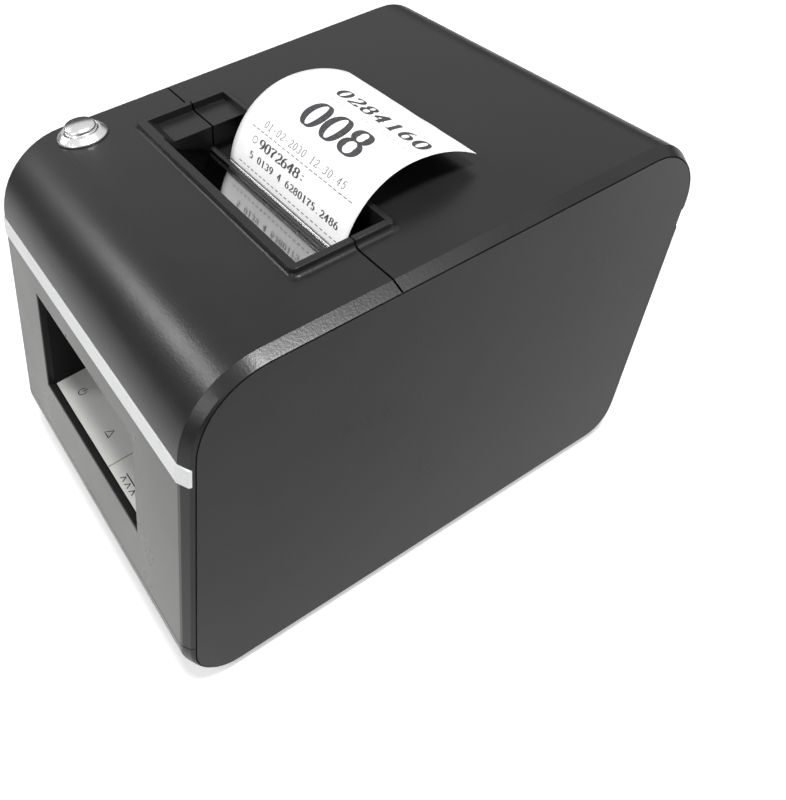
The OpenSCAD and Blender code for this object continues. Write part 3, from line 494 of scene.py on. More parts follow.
def lamp_plastic():
    mat, tree, shader = new_material("lamp_plastic", (0.86, 0.87, 0.84), 0.22)
    shader.inputs["Transmission Weight"].default_value = 0.25
    milky = noise(tree, place_mm(tree), 1.2, 2.0)
    mottle(tree, shader, milky, (0.80, 0.81, 0.78), (0.90, 0.91, 0.89))
    bump(tree, milky, shader, 0.01, 0.4)
    return mat


def make_materials():
    return {
        "casing": casing_plastic(),
        "silver": silver_lacquer(),
        "black": moulded("black_plastic", (0.009, 0.009, 0.009), 0.6, specular=0.2),
        "inner_black": moulded("inner_black", (0.018, 0.018, 0.018), 0.6, specular=0.2),
        "panel": moulded("panel_grey", (0.62, 0.625, 0.60), 0.5, 2.0, 0.02, 0.35, 0.06),
        "mark": moulded("mark_black", (0.015, 0.015, 0.015), 0.6, 3.0, 0.005, 0.2),
        "switch_mark": moulded("mark_white", (0.75, 0.75, 0.75), 0.6, 3.0, 0.005, 0.2, 0.05),
        "lamp": lamp_plastic(),
        "turned": turned_steel(),
        "steel": brushed_metal("bright_steel", (0.60, 0.60, 0.61), 0.3),
        "sheet": brushed_metal("zinc_sheet", (0.50, 0.51, 0.525), 0.42, (1, 1, 0.2), 2.0, 0.01),
        "polished": polished_plate(),
        "bar": moulded("bar_black", (0.05, 0.05, 0.05), 0.32, 3.0, 0.006, 0.5),
        "heatsink": brushed_metal("heatsink_aluminium", (0.62, 0.62, 0.63), 0.38, (0.2, 1, 1), 3.0),
        "brass": brushed_metal("turned_brass", (0.72, 0.53, 0.24), 0.3),
        "paper": thermal_paper(),
        "ink": thermal_ink(),
        "roll": wound_paper(),
        "core": wound_cardboard(),
        "rubber": moulded("platen_rubber", (0.02, 0.02, 0.021), 0.75, 1.5, 0.02, 0.3),
        "nylon": moulded("natural_nylon", (0.72, 0.70, 0.62), 0.45, 1.2, 0.015, 0.4, 0.05),
        "board": circuit_board(),
        "ceramic": moulded("glazed_ceramic", (0.70, 0.66, 0.55), 0.2, 1.0, 0.005, 0.5, 0.05),
    }


# The nodes that each material covers
MATERIAL_NODES = {
    "casing": "base_tray front_cover rear_panel lid_cover side_plate_left side_plate_right",
    "silver": "trim_strip",
    "black": "window_liner feed_switch paper_sensor power_inlet switch_housing power_rocker",
    "inner_black": "paper_bucket tear_bar",
    "panel": "control_panel feed_key",
    "lamp": "indicator_lamps",
    "turned": "button_housing button_nut button_cap",
    "steel": "button_spring chassis_screws lid_screws platen_shaft idler_pin head_springs"
             " head_shaft usb_socket hinge_pins base_screws",
    "sheet": "chassis_frame platen_bracket stepper_motor",
    "polished": "cutter_plate",
    "heatsink": "head_heatsink",
    "brass": "motor_pinion",
    "paper": "paper_web ticket",
    "roll": "paper_roll",
    "core": "roll_core",
    "rubber": "platen_roller rubber_feet",
    "nylon": "platen_bushings platen_gear idler_gear serial_socket",
    "board": "panel_board main_board",
    "ceramic": "print_head",
}
NODE_MATERIAL = {node: key for key, nodes in MATERIAL_NODES.items() for node in nodes.split()}

# Rounding of the edges of the nodes that keep their own solid
ROUNDED_NODES = {
    0.06: "platen_gear idler_gear motor_pinion",
    0.08: "main_board panel_board",
    0.1: "print_head roll_core idler_pin head_shaft hinge_pins feed_switch",
    0.15: "window_liner chassis_frame platen_bracket head_heatsink usb_socket paper_sensor"
          " platen_shaft platen_bushings",
    0.2: "control_panel feed_key button_nut switch_housing serial_socket power_inlet",
    0.22: "base_tray front_cover rear_panel lid_cover",
    0.25: "side_plate_left side_plate_right paper_bucket stepper_motor power_rocker",
    0.3: "trim_strip platen_roller",
}
EDGE_ROUNDING = {node: width for width, nodes in ROUNDED_NODES.items() for node in nodes.split()}

# Points closer than WELD are one point, faces within FLAT degrees are one face, edges over
# SHARP degrees are rounded, and what is left is shaded smooth below SMOOTH degrees
WELD = 0.002
FLAT = 0.4
SHARP = 14
SMOOTH = 20


def smoothing_group(degrees):
    """A node group that shades smooth, and keeps the edges sharper than that angle."""
    name = "smooth_%d" % degrees
    if name in bpy.data.node_groups:
        return bpy.data.node_groups[name]
    group = bpy.data.node_groups.new(name, "GeometryNodeTree")
    group.interface.new_socket("Geometry", in_out="INPUT", socket_type="NodeSocketGeometry")
    group.interface.new_socket("Geometry", in_out="OUTPUT", socket_type="NodeSocketGeometry")
    start = group.nodes.new("NodeGroupInput")
    end = group.nodes.new("NodeGroupOutput")
    faces = group.nodes.new("GeometryNodeSetShadeSmooth")
    faces.domain = "FACE"
    edges = group.nodes.new("GeometryNodeSetShadeSmooth")
    edges.domain = "EDGE"
    angle = group.nodes.new("GeometryNodeInputMeshEdgeAngle")
    softer = group.nodes.new("FunctionNodeCompare")
    softer.data_type = "FLOAT"
    softer.operation = "LESS_THAN"
    softer.inputs["B"].default_value = math.radians(degrees)
    group.links.new(start.outputs[0], faces.inputs["Geometry"])
    group.links.new(faces.outputs[0], edges.inputs["Geometry"])
    group.links.new(angle.outputs["Unsigned Angle"], softer.inputs["A"])
    group.links.new(softer.outputs[0], edges.inputs["Shade Smooth"])
    group.links.new(edges.outputs[0], end.inputs[0])
    return group


def smooth_by_angle(obj, degrees):
    shading = obj.modifiers.new("shading", "NODES")
    shading.node_group = smoothing_group(degrees)


def round_edges(obj, width):
    weld = obj.modifiers.new("weld", "WELD")
    weld.merge_threshold = WELD * MM
    flat = obj.modifiers.new("merge_flats", "DECIMATE")
    flat.decimate_type = "DISSOLVE"
    flat.angle_limit = math.radians(FLAT)
    edge = obj.modifiers.new("edge", "BEVEL")
    edge.width = width * MM
    edge.segments = 2
    edge.limit_method = "ANGLE"
    edge.angle_limit = math.radians(SHARP)
    edge.use_clamp_overlap = True
    smooth_by_angle(obj, SMOOTH)
    normals = obj.modifiers.new("normals", "WEIGHTED_NORMAL")
    normals.keep_sharp = True


def dress_nodes(materials):
    for name, obj in NODES.items():
        wanted = materials[NODE_MATERIAL[name]]
        for slot in obj.material_slots:
            slot.material = wanted
        if name in EDGE_ROUNDING:
            round_edges(obj, EDGE_ROUNDING[name])


# ---- mesh helpers

def piece(name, verts, faces, material, body, stands_for=(), smooth=True):
    """A new mesh on a body; stands_for names the nodes that it is seen in place of."""
    mesh = bpy.data.meshes.new(name)
    mesh.from_pydata([Vector(v) * MM for v in verts], [], faces)
    mesh.update()
    for polygon in mesh.polygons:
        polygon.use_smooth = smooth
    obj = bpy.data.objects.new(name, mesh)
    bpy.context.collection.objects.link(obj)
    mesh.materials.append(material)
    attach(obj, body)
    if stands_for:
        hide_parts(*stands_for)
    return obj


def join(parts):
    """One list of vertices and one of faces, from several such pairs."""
    verts, faces = [], []
    for more, more_faces in parts:
        faces += [tuple(i + len(verts) for i in face) for face in more_faces]
        verts += more
    return verts, faces


def lathe(outline, centre, steps):
    """Vertices and faces of an outline of (radius, height) turned round the Z axis at centre."""
    verts, faces = [], []
    count = len(outline)
    for i in range(steps):
        a = 2 * math.pi * i / steps
        for r, h in outline:
            x, y = r * math.cos(a), r * math.sin(a)
            verts.append((centre[0] + x, centre[1] + y, centre[2] + h))
    for i in range(steps):
        j = (i + 1) % steps
        for k in range(count - 1):
            faces.append((i * count + k, j * count + k, j * count + k + 1, i * count + k + 1))
    return verts, faces


def fillet(outline, radius, steps=3):
    """Rounds the corners of an open outline of points in a plane, but not its end points."""
    nearly_straight = math.radians(176)
    out = [outline[0]]
    for before, at, after in zip(outline, outline[1:], outline[2:]):
        corner = Vector(at)
        u, v = Vector(before) - corner, Vector(after) - corner
        if u.angle(v) > nearly_straight:
            out.append(at)
            continue
        r = min(radius, u.length * 0.45, v.length * 0.45)
        start, end = corner + u.normalized() * r, corner + v.normalized() * r
        for i in range(steps + 1):
            t = i / steps
            out.append(tuple(start * (1 - t) ** 2 + corner * 2 * t * (1 - t) + end * t ** 2))
    out.append(outline[-1])
    return out


def tube_faces(sections, ring):
    """Faces of a closed tube of that many sections with ring points each, and of its two ends."""
    faces = []
    for i in range(sections - 1):
        for k in range(ring):
            m = (k + 1) % ring
            faces.append((i * ring + k, i * ring + m, (i + 1) * ring + m, (i + 1) * ring + k))
    faces.append(tuple(range(ring - 1, -1, -1)))
    faces.append(tuple((sections - 1) * ring + k for k in range(ring)))
    return faces


def closed_sheet(verts_at, rows, columns):
    """A thin closed sheet; verts_at(side, i, j) gives each point of its two sides."""
    verts = [verts_at(side, i, j)
             for side in (0, 1) for i in range(rows + 1) for j in range(columns + 1)]
    stride = columns + 1
    back = stride * (rows + 1)
    faces = []
    for i in range(rows):
        for j in range(columns):
            a = i * stride + j
            faces.append((a, a + 1, a + stride + 1, a + stride))
            faces.append((back + a, back + a + stride, back + a + stride + 1, back + a + 1))
    rim = list(range(stride))
    rim += [i * stride + columns for i in range(1, rows + 1)]
    rim += [rows * stride + j for j in range(columns - 1, -1, -1)]
    rim += [i * stride for i in range(rows - 1, 0, -1)]
    for a, b in zip(rim, rim[1:] + rim[:1]):
        faces.append((b, a, back + a, back + b))
    return verts, faces


def chamfered_block(lo, hi, chamfer):
    """Vertices and faces of a block with all its upright and level edges cut at 45 degrees."""
    upright = chamfer * 0.8
    verts = []
    for z, inset in ((lo[2], chamfer), (lo[2] + chamfer, 0), (hi[2] - chamfer, 0),
                     (hi[2], chamfer)):
        x0, x1, y0, y1 = lo[0] + inset, hi[0] - inset, lo[1] + inset, hi[1] - inset
        xa, xb, ya, yb = x0 + upright, x1 - upright, y0 + upright, y1 - upright
        verts += [(xa, y0, z), (xb, y0, z), (x1, ya, z), (x1, yb, z),
                  (xb, y1, z), (xa, y1, z), (x0, yb, z), (x0, ya, z)]
    return verts, tube_faces(4, 8)


def block_set(name, boxes, chamfer, material):
    verts, faces = join(chamfered_block(lo, hi, chamfer) for lo, hi in boxes)
    piece(name, verts, faces, material, "casing", smooth=False)


# ---- the ticket

# The paper's thickness, and the arcs of the ticket's curl: their radii, and the direction of the
# paper from the upright, in degrees, where they start and end
PAPER_T = 0.09
CURL_RADII = (25.5, 23.0, 33.5)
CURL_ANGLES = (20.0, 49.5, 90.0, 123.5)


def curl_arcs():
    """Radius, direction at the start and length of each arc of the curl."""
    for radius, first, last in zip(CURL_RADII, CURL_ANGLES, CURL_ANGLES[1:]):
        yield radius, math.radians(first), radius * math.radians(last - first)


def ticket_length():
    return sum(length for radius, angle, length in curl_arcs())


def curl_point(s):
    """Place (y, z) and direction on the ticket at s millimetres from its lower end."""
    at = Vector((low("ticket").y + 0.14, low("ticket").z + 0.05))
    for radius, start, length in curl_arcs():
        end = start + min(s, length) / radius
        chord = Vector((math.cos(start) - math.cos(end), math.sin(end) - math.sin(start)))
        at = at + radius * chord
        if s <= length:
            break
        s -= length
    return at, end


def on_ticket(u, s, lift=0.0):
    """Point u across the ticket from its left edge, s along it, lift above its printed side."""
    at, angle = curl_point(s)
    out = Vector((-math.cos(angle), math.sin(angle)))
    at = at + out * (PAPER_T / 2 + lift)
    return (low("ticket").x + u, at.x, at.y)


def paper_ripple():
    """A function of the place on the ticket: how far the paper is off its curl there."""
    rng = random.Random(4)
    waves = [rng.uniform(-0.06, 0.06) for _ in range(6)]
    length = ticket_length()

    def ripple(u, s):
        total = sum(wave * math.sin((k + 1) * u * 0.11 + s * 0.05 * (k + 2))
                    for k, wave in enumerate(waves))
        return 0.5 * s / length * total

    return ripple


def make_ticket(materials):
    width = high("ticket").x - low("ticket").x
    length = ticket_length()
    ripple = paper_ripple()
    rows, columns = 90, 24

    def at(side, i, j):
        u, s = width * j / columns, length * i / rows
        return on_ticket(u, s, ripple(u, s) - side * PAPER_T)

    verts, faces = closed_sheet(at, rows, columns)
    piece("ticket_sheet", verts, faces, materials["paper"], "lid", ("ticket",))
    make_print(materials, ripple)


# ---- strokes of print

def arc(cx, cy, rx, ry, a0, a1, steps=20):
    angles = [math.radians(a0 + (a1 - a0) * i / steps) for i in range(steps + 1)]
    return [(cx + rx * math.cos(a), cy + ry * math.sin(a)) for a in angles]


def line(x0, y0, x1, y1, steps=8):
    return [(x0 + (x1 - x0) * i / steps, y0 + (y1 - y0) * i / steps) for i in range(steps + 1)]


# Middle lines of the digits in a unit square, as strokes of a broad pen
DIGITS = {
    "0": [arc(0.5, 0.5, 0.34, 0.46, 90, 450, 36)],
    "1": [line(0.52, 0.03, 0.52, 0.97), line(0.25, 0.03, 0.79, 0.03), line(0.3, 0.84, 0.52, 0.95)],
    "2": [arc(0.5, 0.7, 0.3, 0.26, 165, -35, 20) + line(0.72, 0.5, 0.14, 0.04),
          line(0.14, 0.04, 0.86, 0.04), line(0.86, 0.04, 0.86, 0.2)],
    "3": [arc(0.46, 0.73, 0.28, 0.23, 160, -80, 20), arc(0.46, 0.28, 0.33, 0.25, 85, -160, 20)],
    "4": [line(0.66, 0.03, 0.66, 0.97), line(0.66, 0.97, 0.1, 0.3), line(0.1, 0.3, 0.92, 0.3),
          line(0.46, 0.03, 0.86, 0.03)],
    "5": [line(0.26, 0.95, 0.84, 0.95), line(0.26, 0.95, 0.24, 0.52),
          arc(0.48, 0.32, 0.32, 0.29, 140, -150, 24)],
    "6": [arc(0.5, 0.31, 0.32, 0.28, 90, 450, 30), arc(0.72, 0.38, 0.54, 0.58, 180, 95, 16)],
    "7": [line(0.14, 0.95, 0.86, 0.95), line(0.86, 0.95, 0.48, 0.5) + line(0.48, 0.5, 0.42, 0.03),
          line(0.14, 0.95, 0.14, 0.8)],
    "8": [arc(0.5, 0.74, 0.27, 0.22, 90, 450, 30), arc(0.5, 0.28, 0.33, 0.25, 90, 450, 30)],
    "9": [arc(0.5, 0.68, 0.32, 0.28, 90, 450, 30), arc(0.28, 0.62, 0.54, 0.58, 0, -85, 16)],
    "-": [line(0.2, 0.42, 0.8, 0.42)],
    ":": [line(0.5, 0.2, 0.5, 0.3, 2), line(0.5, 0.62, 0.5, 0.72, 2)],
    ".": [line(0.5, 0.03, 0.5, 0.13, 2)],
    " ": [],
}


class Ink:
    """Collects flat strokes; place turns their (u, v) into a point of the object."""

    def __init__(self, place):
        self.verts, self.faces, self.place = [], [], place

    def put(self, u, v):
        self.verts.append(self.place(u, v))
        return len(self.verts) - 1

    def stroke(self, points, thick, thin=None):
        """A strip along points, thick where it runs upright and thin where it runs across."""
        thin = thick if thin is None else thin
        ring = (Vector(points[0]) - Vector(points[-1])).length < 1e-6
        last = None
        for i, (x, y) in enumerate(points):
            before = points[i - 1] if i else points[-2 if ring else 0]
            after = points[i + 1] if i + 1 < len(points) else points[1 if ring else -1]
            way = (Vector(after) - Vector(before)).normalized()
            width = thin + (thick - thin) * abs(way.y) ** 1.6
            dx, dy = Vector((-way.y, way.x)) * width / 2
            pair = (self.put(x + dx, y + dy), self.put(x - dx, y - dy))
            if last:
                self.faces.append((last[0], last[1], pair[1], pair[0]))
            last = pair

    def text(self, words, u, v, width, height, thick, thin, pitch):
        """Characters from (u, v) on, each of that width and height, at that pitch."""
        for i, letter in enumerate(words):
            for stroke in DIGITS[letter]:
                points = [(u + i * pitch + x * width, v + y * height) for x, y in stroke]
                self.stroke(points, thick, thin)

    def dashes(self, u0, u1, v, dash=1.5, gap=0.75, thick=0.22):
        u = u0
        while u < u1:
            self.stroke(line(u, v, min(u + dash, u1), v, 2), thick)
            u += dash + gap

    def piece(self, name, material, body, record_slot):
        piece(name, self.verts, self.faces, material, body)


def make_print(materials, ripple):
    """Plain numbers and dashes, in the places and sizes of the real ticket's print."""
    ink = Ink(lambda u, s: on_ticket(u, s, PRINT_LIFT + ripple(u, s)))
    ink.text("0284160", 16.2, 33.4, 5.0, 4.3, 1.7, 0.35, 5.65)
    ink.dashes(14.0, 57.0, 31.2, 1.4, 0.9, 0.13)
    ink.text("008", 17.6, 19.8, 9.2, 9.0, 2.7, 0.55, 9.2)
    ink.text("01-02-2030 12:30:45", 9.8, 13.2, 1.75, 2.1, 0.3, 0.16, 2.1)
    ink.dashes(5.4, 54.6, 12.0)
    ink.stroke(arc(9.3, 9.2, 1.1, 0.9, 0, 360, 20), 0.2)
    ink.text("9072648:", 11.6, 8.0, 3.0, 2.5, 0.95, 0.22, 2.95)
    ink.text("5 0139 4 6280175.2486", 9.2, 4.3, 1.9, 1.9, 0.62, 0.17, 2.12)
    ink.dashes(5.0, 54.4, 1.8, 1.3, 0.9)
    ink.piece("ticket_print", materials["ink"], "lid", "paper")


# ---- paper under the ticket

def web_path():
    """Middle line (y, z) of the paper from the roll, under and round the platen, up to the bar."""
    roll, platen = joint_at("roll_spin").yz, joint_at("platen_spin").yz
    turn_r = (high("platen_roller").y - low("platen_roller").y) / 2 + 0.3
    roll_r = (high("paper_roll").y - low("paper_roll").y) / 2 + 0.45
    span = platen - roll
    angle = math.atan2(span.y, span.x) - math.acos((turn_r - roll_r) / span.length)
    path = [roll - roll_r * Vector((math.cos(angle), math.sin(angle)))]
    turn_steps, bend_steps = 12, 8
    for i in range(turn_steps + 1):
        a = math.pi + angle * (1 - i / turn_steps)
        path.append(platen + turn_r * Vector((math.cos(a), math.sin(a))))
    lean = math.radians(CURL_ANGLES[0])
    end = curl_point(0)[0] - 0.3 * Vector((math.sin(lean), math.cos(lean)))
    bend = (end.x - path[-1].x) / (1 - math.cos(lean))
    start = end - bend * Vector((1 - math.cos(lean), math.sin(lean)))
    for i in range(bend_steps + 1):
        a = lean * i / bend_steps
        path.append(start + bend * Vector((1 - math.cos(a), math.sin(a))))
    return path


def make_web(materials):
    path = web_path()
    columns = 8
    left, right = low("paper_web").x, high("paper_web").x
    normals = []
    for i in range(len(path)):
        way = (path[min(i + 1, len(path) - 1)] - path[max(i - 1, 0)]).normalized()
        normals.append(Vector((-way.y, way.x)))

    def at(side, i, j):
        point = path[i] + normals[i] * (0.5 - side) * PAPER_T
        return (left + (right - left) * j / columns, point.x, point.y)

    verts, faces = closed_sheet(at, len(path) - 1, columns)
    piece("paper_path_sheet", verts, faces, materials["paper"], "casing", ("paper_web",))


# ---- button and springs

def rounded_turning(outline, radius, centre):
    """lathe, with the outline's corners rounded, but for those that end on the axis."""
    return lathe([outline[0]] + fillet(outline[1:-1], radius) + [outline[-1]], centre, 96)


def make_button(materials):
    lo, hi = low("button_housing"), high("button_housing")
    x, y = (lo.x + hi.x) / 2, (lo.y + hi.y) / 2
    flange_r = (hi.x - lo.x) / 2
    body_r, flange_h, bore_depth = 5.9, 2.0, 7.9
    deck = hi.z - flange_h
    foot = lo.z + 4 - deck
    rim = flange_h - 0.05
    cap_low = low("button_cap").z
    cap_r = (high("button_cap").x - low("button_cap").x) / 2
    cap_h = high("button_cap").z - cap_low
    bore = cap_r + 0.12
    outline = [(0, foot), (body_r, foot), (body_r, 0.02), (flange_r, 0.02), (flange_r, 0.55),
               (flange_r - 1.7, rim), (bore + 0.35, rim), (bore, 1.6), (bore, -bore_depth),
               (0, -bore_depth)]
    verts, faces = rounded_turning(outline, 0.22, (x, y, deck))
    piece("button_flange", verts, faces, materials["turned"], "casing",
          ("button_housing",))
    cap = [(0, 0), (cap_r, 0), (cap_r, cap_h - 0.75), (cap_r - 0.6, cap_h - 0.03), (0, cap_h)]
    verts, faces = rounded_turning(cap, 0.15, (x, y, cap_low))
    piece("button_push_cap", verts, faces, materials["turned"], "button",
          ("button_cap",))


def coil(name, axis_from, axis_to, radius, wire, turns, material, body, stands_for=()):
    """A helical spring of round wire between two points."""
    way = Vector(axis_to) - Vector(axis_from)
    length = way.length
    way.normalize()
    side = way.orthogonal().normalized()
    other = way.cross(side)
    steps, ring = int(turns * 28), 8
    verts = []
    for i in range(steps + 1):
        t = i / steps
        a = 2 * math.pi * turns * t
        out = side * math.cos(a) + other * math.sin(a)
        along = wire / 2 + (length - wire) * t
        middle = Vector(axis_from) + way * along + out * (radius - wire / 2)
        for k in range(ring):
            b = 2 * math.pi * k / ring
            verts.append(middle + (out * math.cos(b) + way * math.sin(b)) * wire / 2)
    return piece(name, verts, tube_faces(steps + 1, ring), material, body, stands_for)


def make_springs(materials):
    steel = materials["steel"]
    lo, hi = low("button_spring"), high("button_spring")
    x, y = (lo.x + hi.x) / 2, (lo.y + hi.y) / 2
    spring = coil("button_return_spring", (x, y, lo.z), (x, y, hi.z), (hi.x - lo.x) / 2,
                  0.5, 5.5, steel, "casing", ("button_spring",))
    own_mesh(spring)
    lo, hi = low("head_springs"), high("head_springs")
    r = (hi.z - lo.z) / 2
    z = lo.z + r
    for side, x in (("left", lo.x + r), ("right", hi.x - r)):
        spring = coil("head_spring_" + side, (x, hi.y, z), (x, lo.y, z), r, 0.55, 4.5, steel,
                      "head", ("head_springs",) if side == "left" else ())
        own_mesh(spring)


# ---- tear bar

# The bar's section as parts of its depth, from its rear, and of its height
BAR_SECTION = ((0.0, 0.45), (0.0, 0.97), (0.10, 1.0), (0.22, 0.98), (0.30, 0.70), (0.38, 0.66),
               (0.46, 0.86), (0.56, 0.90), (0.64, 0.60), (0.72, 0.54), (0.80, 0.70),
               (0.90, 0.66), (1.0, 0.30), (1.0, 0.0), (0.3, 0.0))
TEETH = 58
TOOTH_DEPTH = 0.42


def make_tear_bar(materials):
    """Ridged bar with a serrated rear edge, and the bright ground edge on top of it."""
    lo, hi = low("tear_bar"), high("tear_bar")
    depth, tall = hi.y - lo.y, hi.z - lo.z
    pitch = (hi.x - lo.x) / TEETH
    verts = []
    for i in range(TEETH * 2 + 1):
        back = 0.0 if i % 2 else TOOTH_DEPTH
        for a, h in BAR_SECTION:
            shift = back * max(0.0, 1 - a / 0.3)
            verts.append((lo.x + i * pitch / 2, hi.y - depth * a - shift, lo.z + tall * h))
    faces = tube_faces(TEETH * 2 + 1, len(BAR_SECTION))
    bar = piece("ridged_tear_bar", verts, faces, materials["bar"], "casing",
                ("tear_bar",), smooth=False)
    smooth_by_angle(bar, 35)
    front, rear = hi.y - depth * 0.30, hi.y - depth * 0.06 - 0.2
    bottom, top = hi.z - 0.16, hi.z - 0.002
    ring = [(front, bottom), (rear, bottom + 0.04), (rear, top - 0.02), (rear - 0.05, top),
            (front, top - 0.03)]
    verts = [(x, y, z) for x in (lo.x + 0.2, hi.x - 0.2) for y, z in ring]
    piece("tear_edge", verts, tube_faces(2, len(ring)), materials["steel"], "casing",
          smooth=False)


# ---- control panel

# Places of the marks, x and y
POWER_MARK = (-25.9, -71.4)
PAPER_MARK = (-4.6, -72.3)
FEED_MARK = (16.5, -75.4)
PANEL_LEAN = math.radians(3)


def make_lamps(materials):
    lo, hi = low("indicator_lamps"), high("indicator_lamps")
    r = 1.5
    tall = hi.z - lo.z
    outline = [(0, 0), (r - 0.08, 0), (r - 0.08, tall - 3.0), (r, tall - 2.8), (r, tall - 1.6)]
    dome = [math.radians(12 * i) for i in range(1, 8)]
    outline += [(r * math.cos(a), tall - r + r * math.sin(a)) for a in dome]
    outline.append((0, tall))
    places = ((lo.x + r, hi.y - r), (hi.x - r, lo.y + r))
    verts, faces = join(lathe(outline, (x, y, lo.z), 40) for x, y in places)
    piece("lamp_domes", verts, faces, materials["lamp"], "casing", ("indicator_lamps",))


def make_panel(materials):
    """Two lamp domes, and three plain marks on the sloping panel."""
    make_lamps(materials)
    top = high("control_panel")

    def on_panel(x, y):
        return (x, y, top.z - (top.y - y) * math.tan(PANEL_LEAN) + PRINT_GAP)

    pen = 0.3
    ink = Ink(on_panel)
    x, y = POWER_MARK
    ink.stroke(arc(x, y, 1.25, 1.25, 120, 420, 24), pen)
    ink.stroke(line(x, y + 0.1, x, y + 1.7, 2), pen)
    x, y = PAPER_MARK
    wide, tall = 1.4, 2.4
    ink.stroke(line(x - wide, y, x + wide, y, 2) + line(x + wide, y, x, y + tall, 2)
               + line(x, y + tall, x - wide, y, 2), pen)
    ink.piece("panel_marks", materials["mark"], "casing", "black_plastic")
    ink = Ink(on_panel)
    pen = 0.32
    middle, y = FEED_MARK
    for x in (middle - 3, middle, middle + 3):
        ink.stroke(line(x - 0.9, y, x, y + 1.5, 2) + line(x, y + 1.5, x + 0.9, y, 2), pen)
    ink.stroke(line(middle - 4.1, y + 2.1, middle + 4.1, y + 2.1, 2), pen)
    ink.piece("feed_mark", materials["mark"], "feed", "black_plastic")


# ---- screws and feet

def screw(centre, head_r, head_h, shank_r, length, up):
    """Vertices and faces of a pan-head screw with a cross recess.

    centre is under the head, and up is 1 or -1, for a head that looks up or down.
    """
    steps = 48
    radii = [head_r * f for f in (0.0, 0.1, 0.2, 0.3, 0.4, 0.5, 0.6, 0.7, 0.8, 0.9, 0.97, 1.0)]
    shank = ((head_r, 0.0), (shank_r, 0.0), (shank_r, -length + shank_r), (shank_r * 0.3, -length))

    def surface(x, y):
        r = math.hypot(x, y) / head_r
        dome = head_h * (1 - 0.45 * r ** 3)
        thin, wide = min(abs(x), abs(y)) / head_r, max(abs(x), abs(y)) / head_r
        across = min(1.0, max(0.0, (0.17 - thin) / 0.06))
        along = min(1.0, max(0.0, (0.62 - wide) / 0.08))
        return dome - head_h * 0.62 * across * along

    verts, faces = [], []
    for r, h in [(r, None) for r in radii] + list(shank):
        for i in range(steps):
            a = 2 * math.pi * i / steps
            x, y = r * math.cos(a), r * math.sin(a)
            z = surface(x, y) if h is None else h
            verts.append((centre[0] + x, centre[1] + y, centre[2] + up * z))
    for k in range(len(radii) + len(shank) - 1):
        for i in range(steps):
            j = (i + 1) % steps
            face = (k * steps + i, (k + 1) * steps + i, (k + 1) * steps + j, k * steps + j)
            faces.append(face if up > 0 else face[::-1])
    return verts, faces


def corner_places(node, radius):
    """The centres of four round things of that radius in the corners of a node."""
    lo, hi = low(node), high(node)
    return [(x, y) for x in (lo.x + radius, hi.x - radius) for y in (lo.y + radius, hi.y - radius)]


def screw_set(name, node, material, body, head_r, head_h, up, places):
    lo, hi = low(node), high(node)
    seat = hi.z - head_h if up > 0 else lo.z + head_h
    length = hi.z - lo.z - head_h
    verts, faces = join(screw((x, y, seat), head_r, head_h, 1.5, length, up) for x, y in places)
    obj = piece(name, verts, faces, material, body, (node,))
    smooth_by_angle(obj, 40)


def make_screws(materials):
    steel = materials["steel"]
    casing_r, frame_r = 2.9, 2.7
    screw_set("casing_screws", "base_screws", steel, "casing", casing_r, 1.6, -1,
              corner_places("base_screws", casing_r))
    screw_set("frame_screws", "chassis_screws", steel, "casing", frame_r, 1.6, 1,
              corner_places("chassis_screws", frame_r))
    lo, hi = low("lid_screws"), high("lid_screws")
    middle = (lo.y + hi.y) / 2
    screw_set("bracket_screws", "lid_screws", steel, "lid", frame_r, 1.5, -1,
              [(lo.x + frame_r, middle), (hi.x - frame_r, middle)])


def make_feet(materials):
    """Round feet with a shallow hollow under them."""
    lo, hi = low("rubber_feet"), high("rubber_feet")
    r, tall = 5.0, hi.z - lo.z
    outline = [(0, 0.25), (r - 2.6, 0.25), (r - 2.2, 0.0), (r - 1.1, 0), (r - 0.5, 0.12),
               (r - 0.12, 0.5), (r, 1.0), (r, tall), (0, tall)]
    verts, faces = join(lathe(outline, (x, y, lo.z), 56)
                        for x, y in corner_places("rubber_feet", r))
    piece("domed_feet", verts, faces, materials["rubber"], "casing", ("rubber_feet",))


# ---- sockets, board and switch

def contact_row(name, node, count, pitch, start, end, chamfer, material):
    """A row of flat contacts in a socket.

    start and end are corners of the first one, from the middle of the socket's width, from its
    outer face and from its bottom.
    """
    lo, hi = low(node), high(node)
    boxes = []
    for i in range(count):
        origin = Vector(((lo.x + hi.x) / 2 + i * pitch, hi.y, lo.z))
        boxes.append((origin + Vector(start), origin + Vector(end)))
    block_set(name, boxes, chamfer, material)


def make_sockets(materials):
    """Contacts of the data sockets."""
    contact_row("usb_contacts", "usb_socket", 4, 1.4, (-2.4, -7.5, 6.98), (-1.8, -2.2, 7.1),
                0.03, materials["brass"])
    contact_row("serial_contacts", "serial_socket", 6, 1.27, (-3.3, -6.5, 2.0),
                (-2.9, -2.0, 2.5), 0.08, materials["brass"])


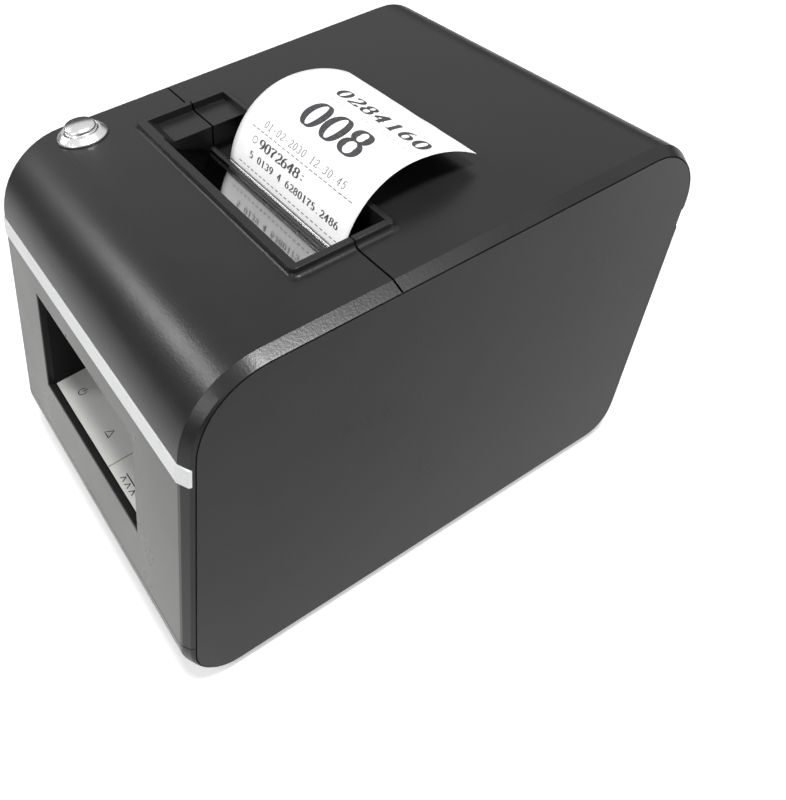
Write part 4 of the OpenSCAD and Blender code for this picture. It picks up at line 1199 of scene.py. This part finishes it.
def make_board_parts(materials):
    """Capacitors, chips and a cable header on the main board."""
    lo = low("main_board")
    deck = lo.z + 1.6
    can = [(0, 0), (2.4, 0), (2.4, 0.5), (2.2, 0.8), (2.4, 1.1), (2.4, 6.0), (2.1, 6.4),
           (1.4, 6.3), (0, 6.3)]
    verts, faces = join(lathe(can, (x, lo.y + 3.6, deck), 32) for x in (-20.5, -14.5, 29.5, 34.0))
    piece("board_capacitors", verts, faces, materials["heatsink"], "casing")
    rng = random.Random(11)
    chips = []
    for row in (9, 24.5):
        for i in range(13):
            x, y = lo.x + 3 + i * 4.5, lo.y + row + rng.uniform(-0.6, 0.6)
            chips.append(((x, y, deck - 0.05), (x + 1.6, y + 0.8, deck + 0.5)))
    block_set("board_chips", chips, 0.08, materials["inner_black"])
    header = ((-6.0, lo.y + 1.2, deck), (9.0, lo.y + 5.2, deck + 4.6))
    block_set("board_header", [header], 0.3, materials["nylon"])


# The power rocker: its tilt at rest, half its length, and how far its face is from its axis in
# the middle and further off at the ends
ROCKER_TILT = math.radians(8)
ROCKER_HALF = 8.1
ROCKER_FACE = 2.1
ROCKER_RISE = 1.2


def make_switch_marks(materials):
    """A bar and a ring on the two ends of the rocker."""
    turn = Matrix.Rotation(ROCKER_TILT - LEAN, 4, "X")
    turn = Matrix.Translation(joint_at("power_switch")) @ turn

    def on_rocker(u, v):
        face = ROCKER_FACE + ROCKER_RISE * abs(v) / ROCKER_HALF
        return tuple(turn @ Vector((-u, face + PRINT_GAP, v)))

    ink = Ink(on_rocker)
    ink.stroke(line(0, 3.2, 0, 5.8, 3), 0.45)
    ink.stroke(arc(0, -4.6, 1.2, 1.3, 0, 360, 28), 0.42)
    ink.piece("rocker_marks", materials["switch_mark"], "rocker", "black_plastic")


def main():
    bpy.context.scene.view_settings.view_transform = "Standard"
    make_camera()
    make_world()
    make_floor()
    make_lights()
    materials = make_materials()
    dress_nodes(materials)
    make_ticket(materials)
    make_web(materials)
    make_tear_bar(materials)
    make_button(materials)
    make_springs(materials)
    make_panel(materials)
    make_screws(materials)
    make_feet(materials)
    make_sockets(materials)
    make_board_parts(materials)
    make_switch_marks(materials)


main()
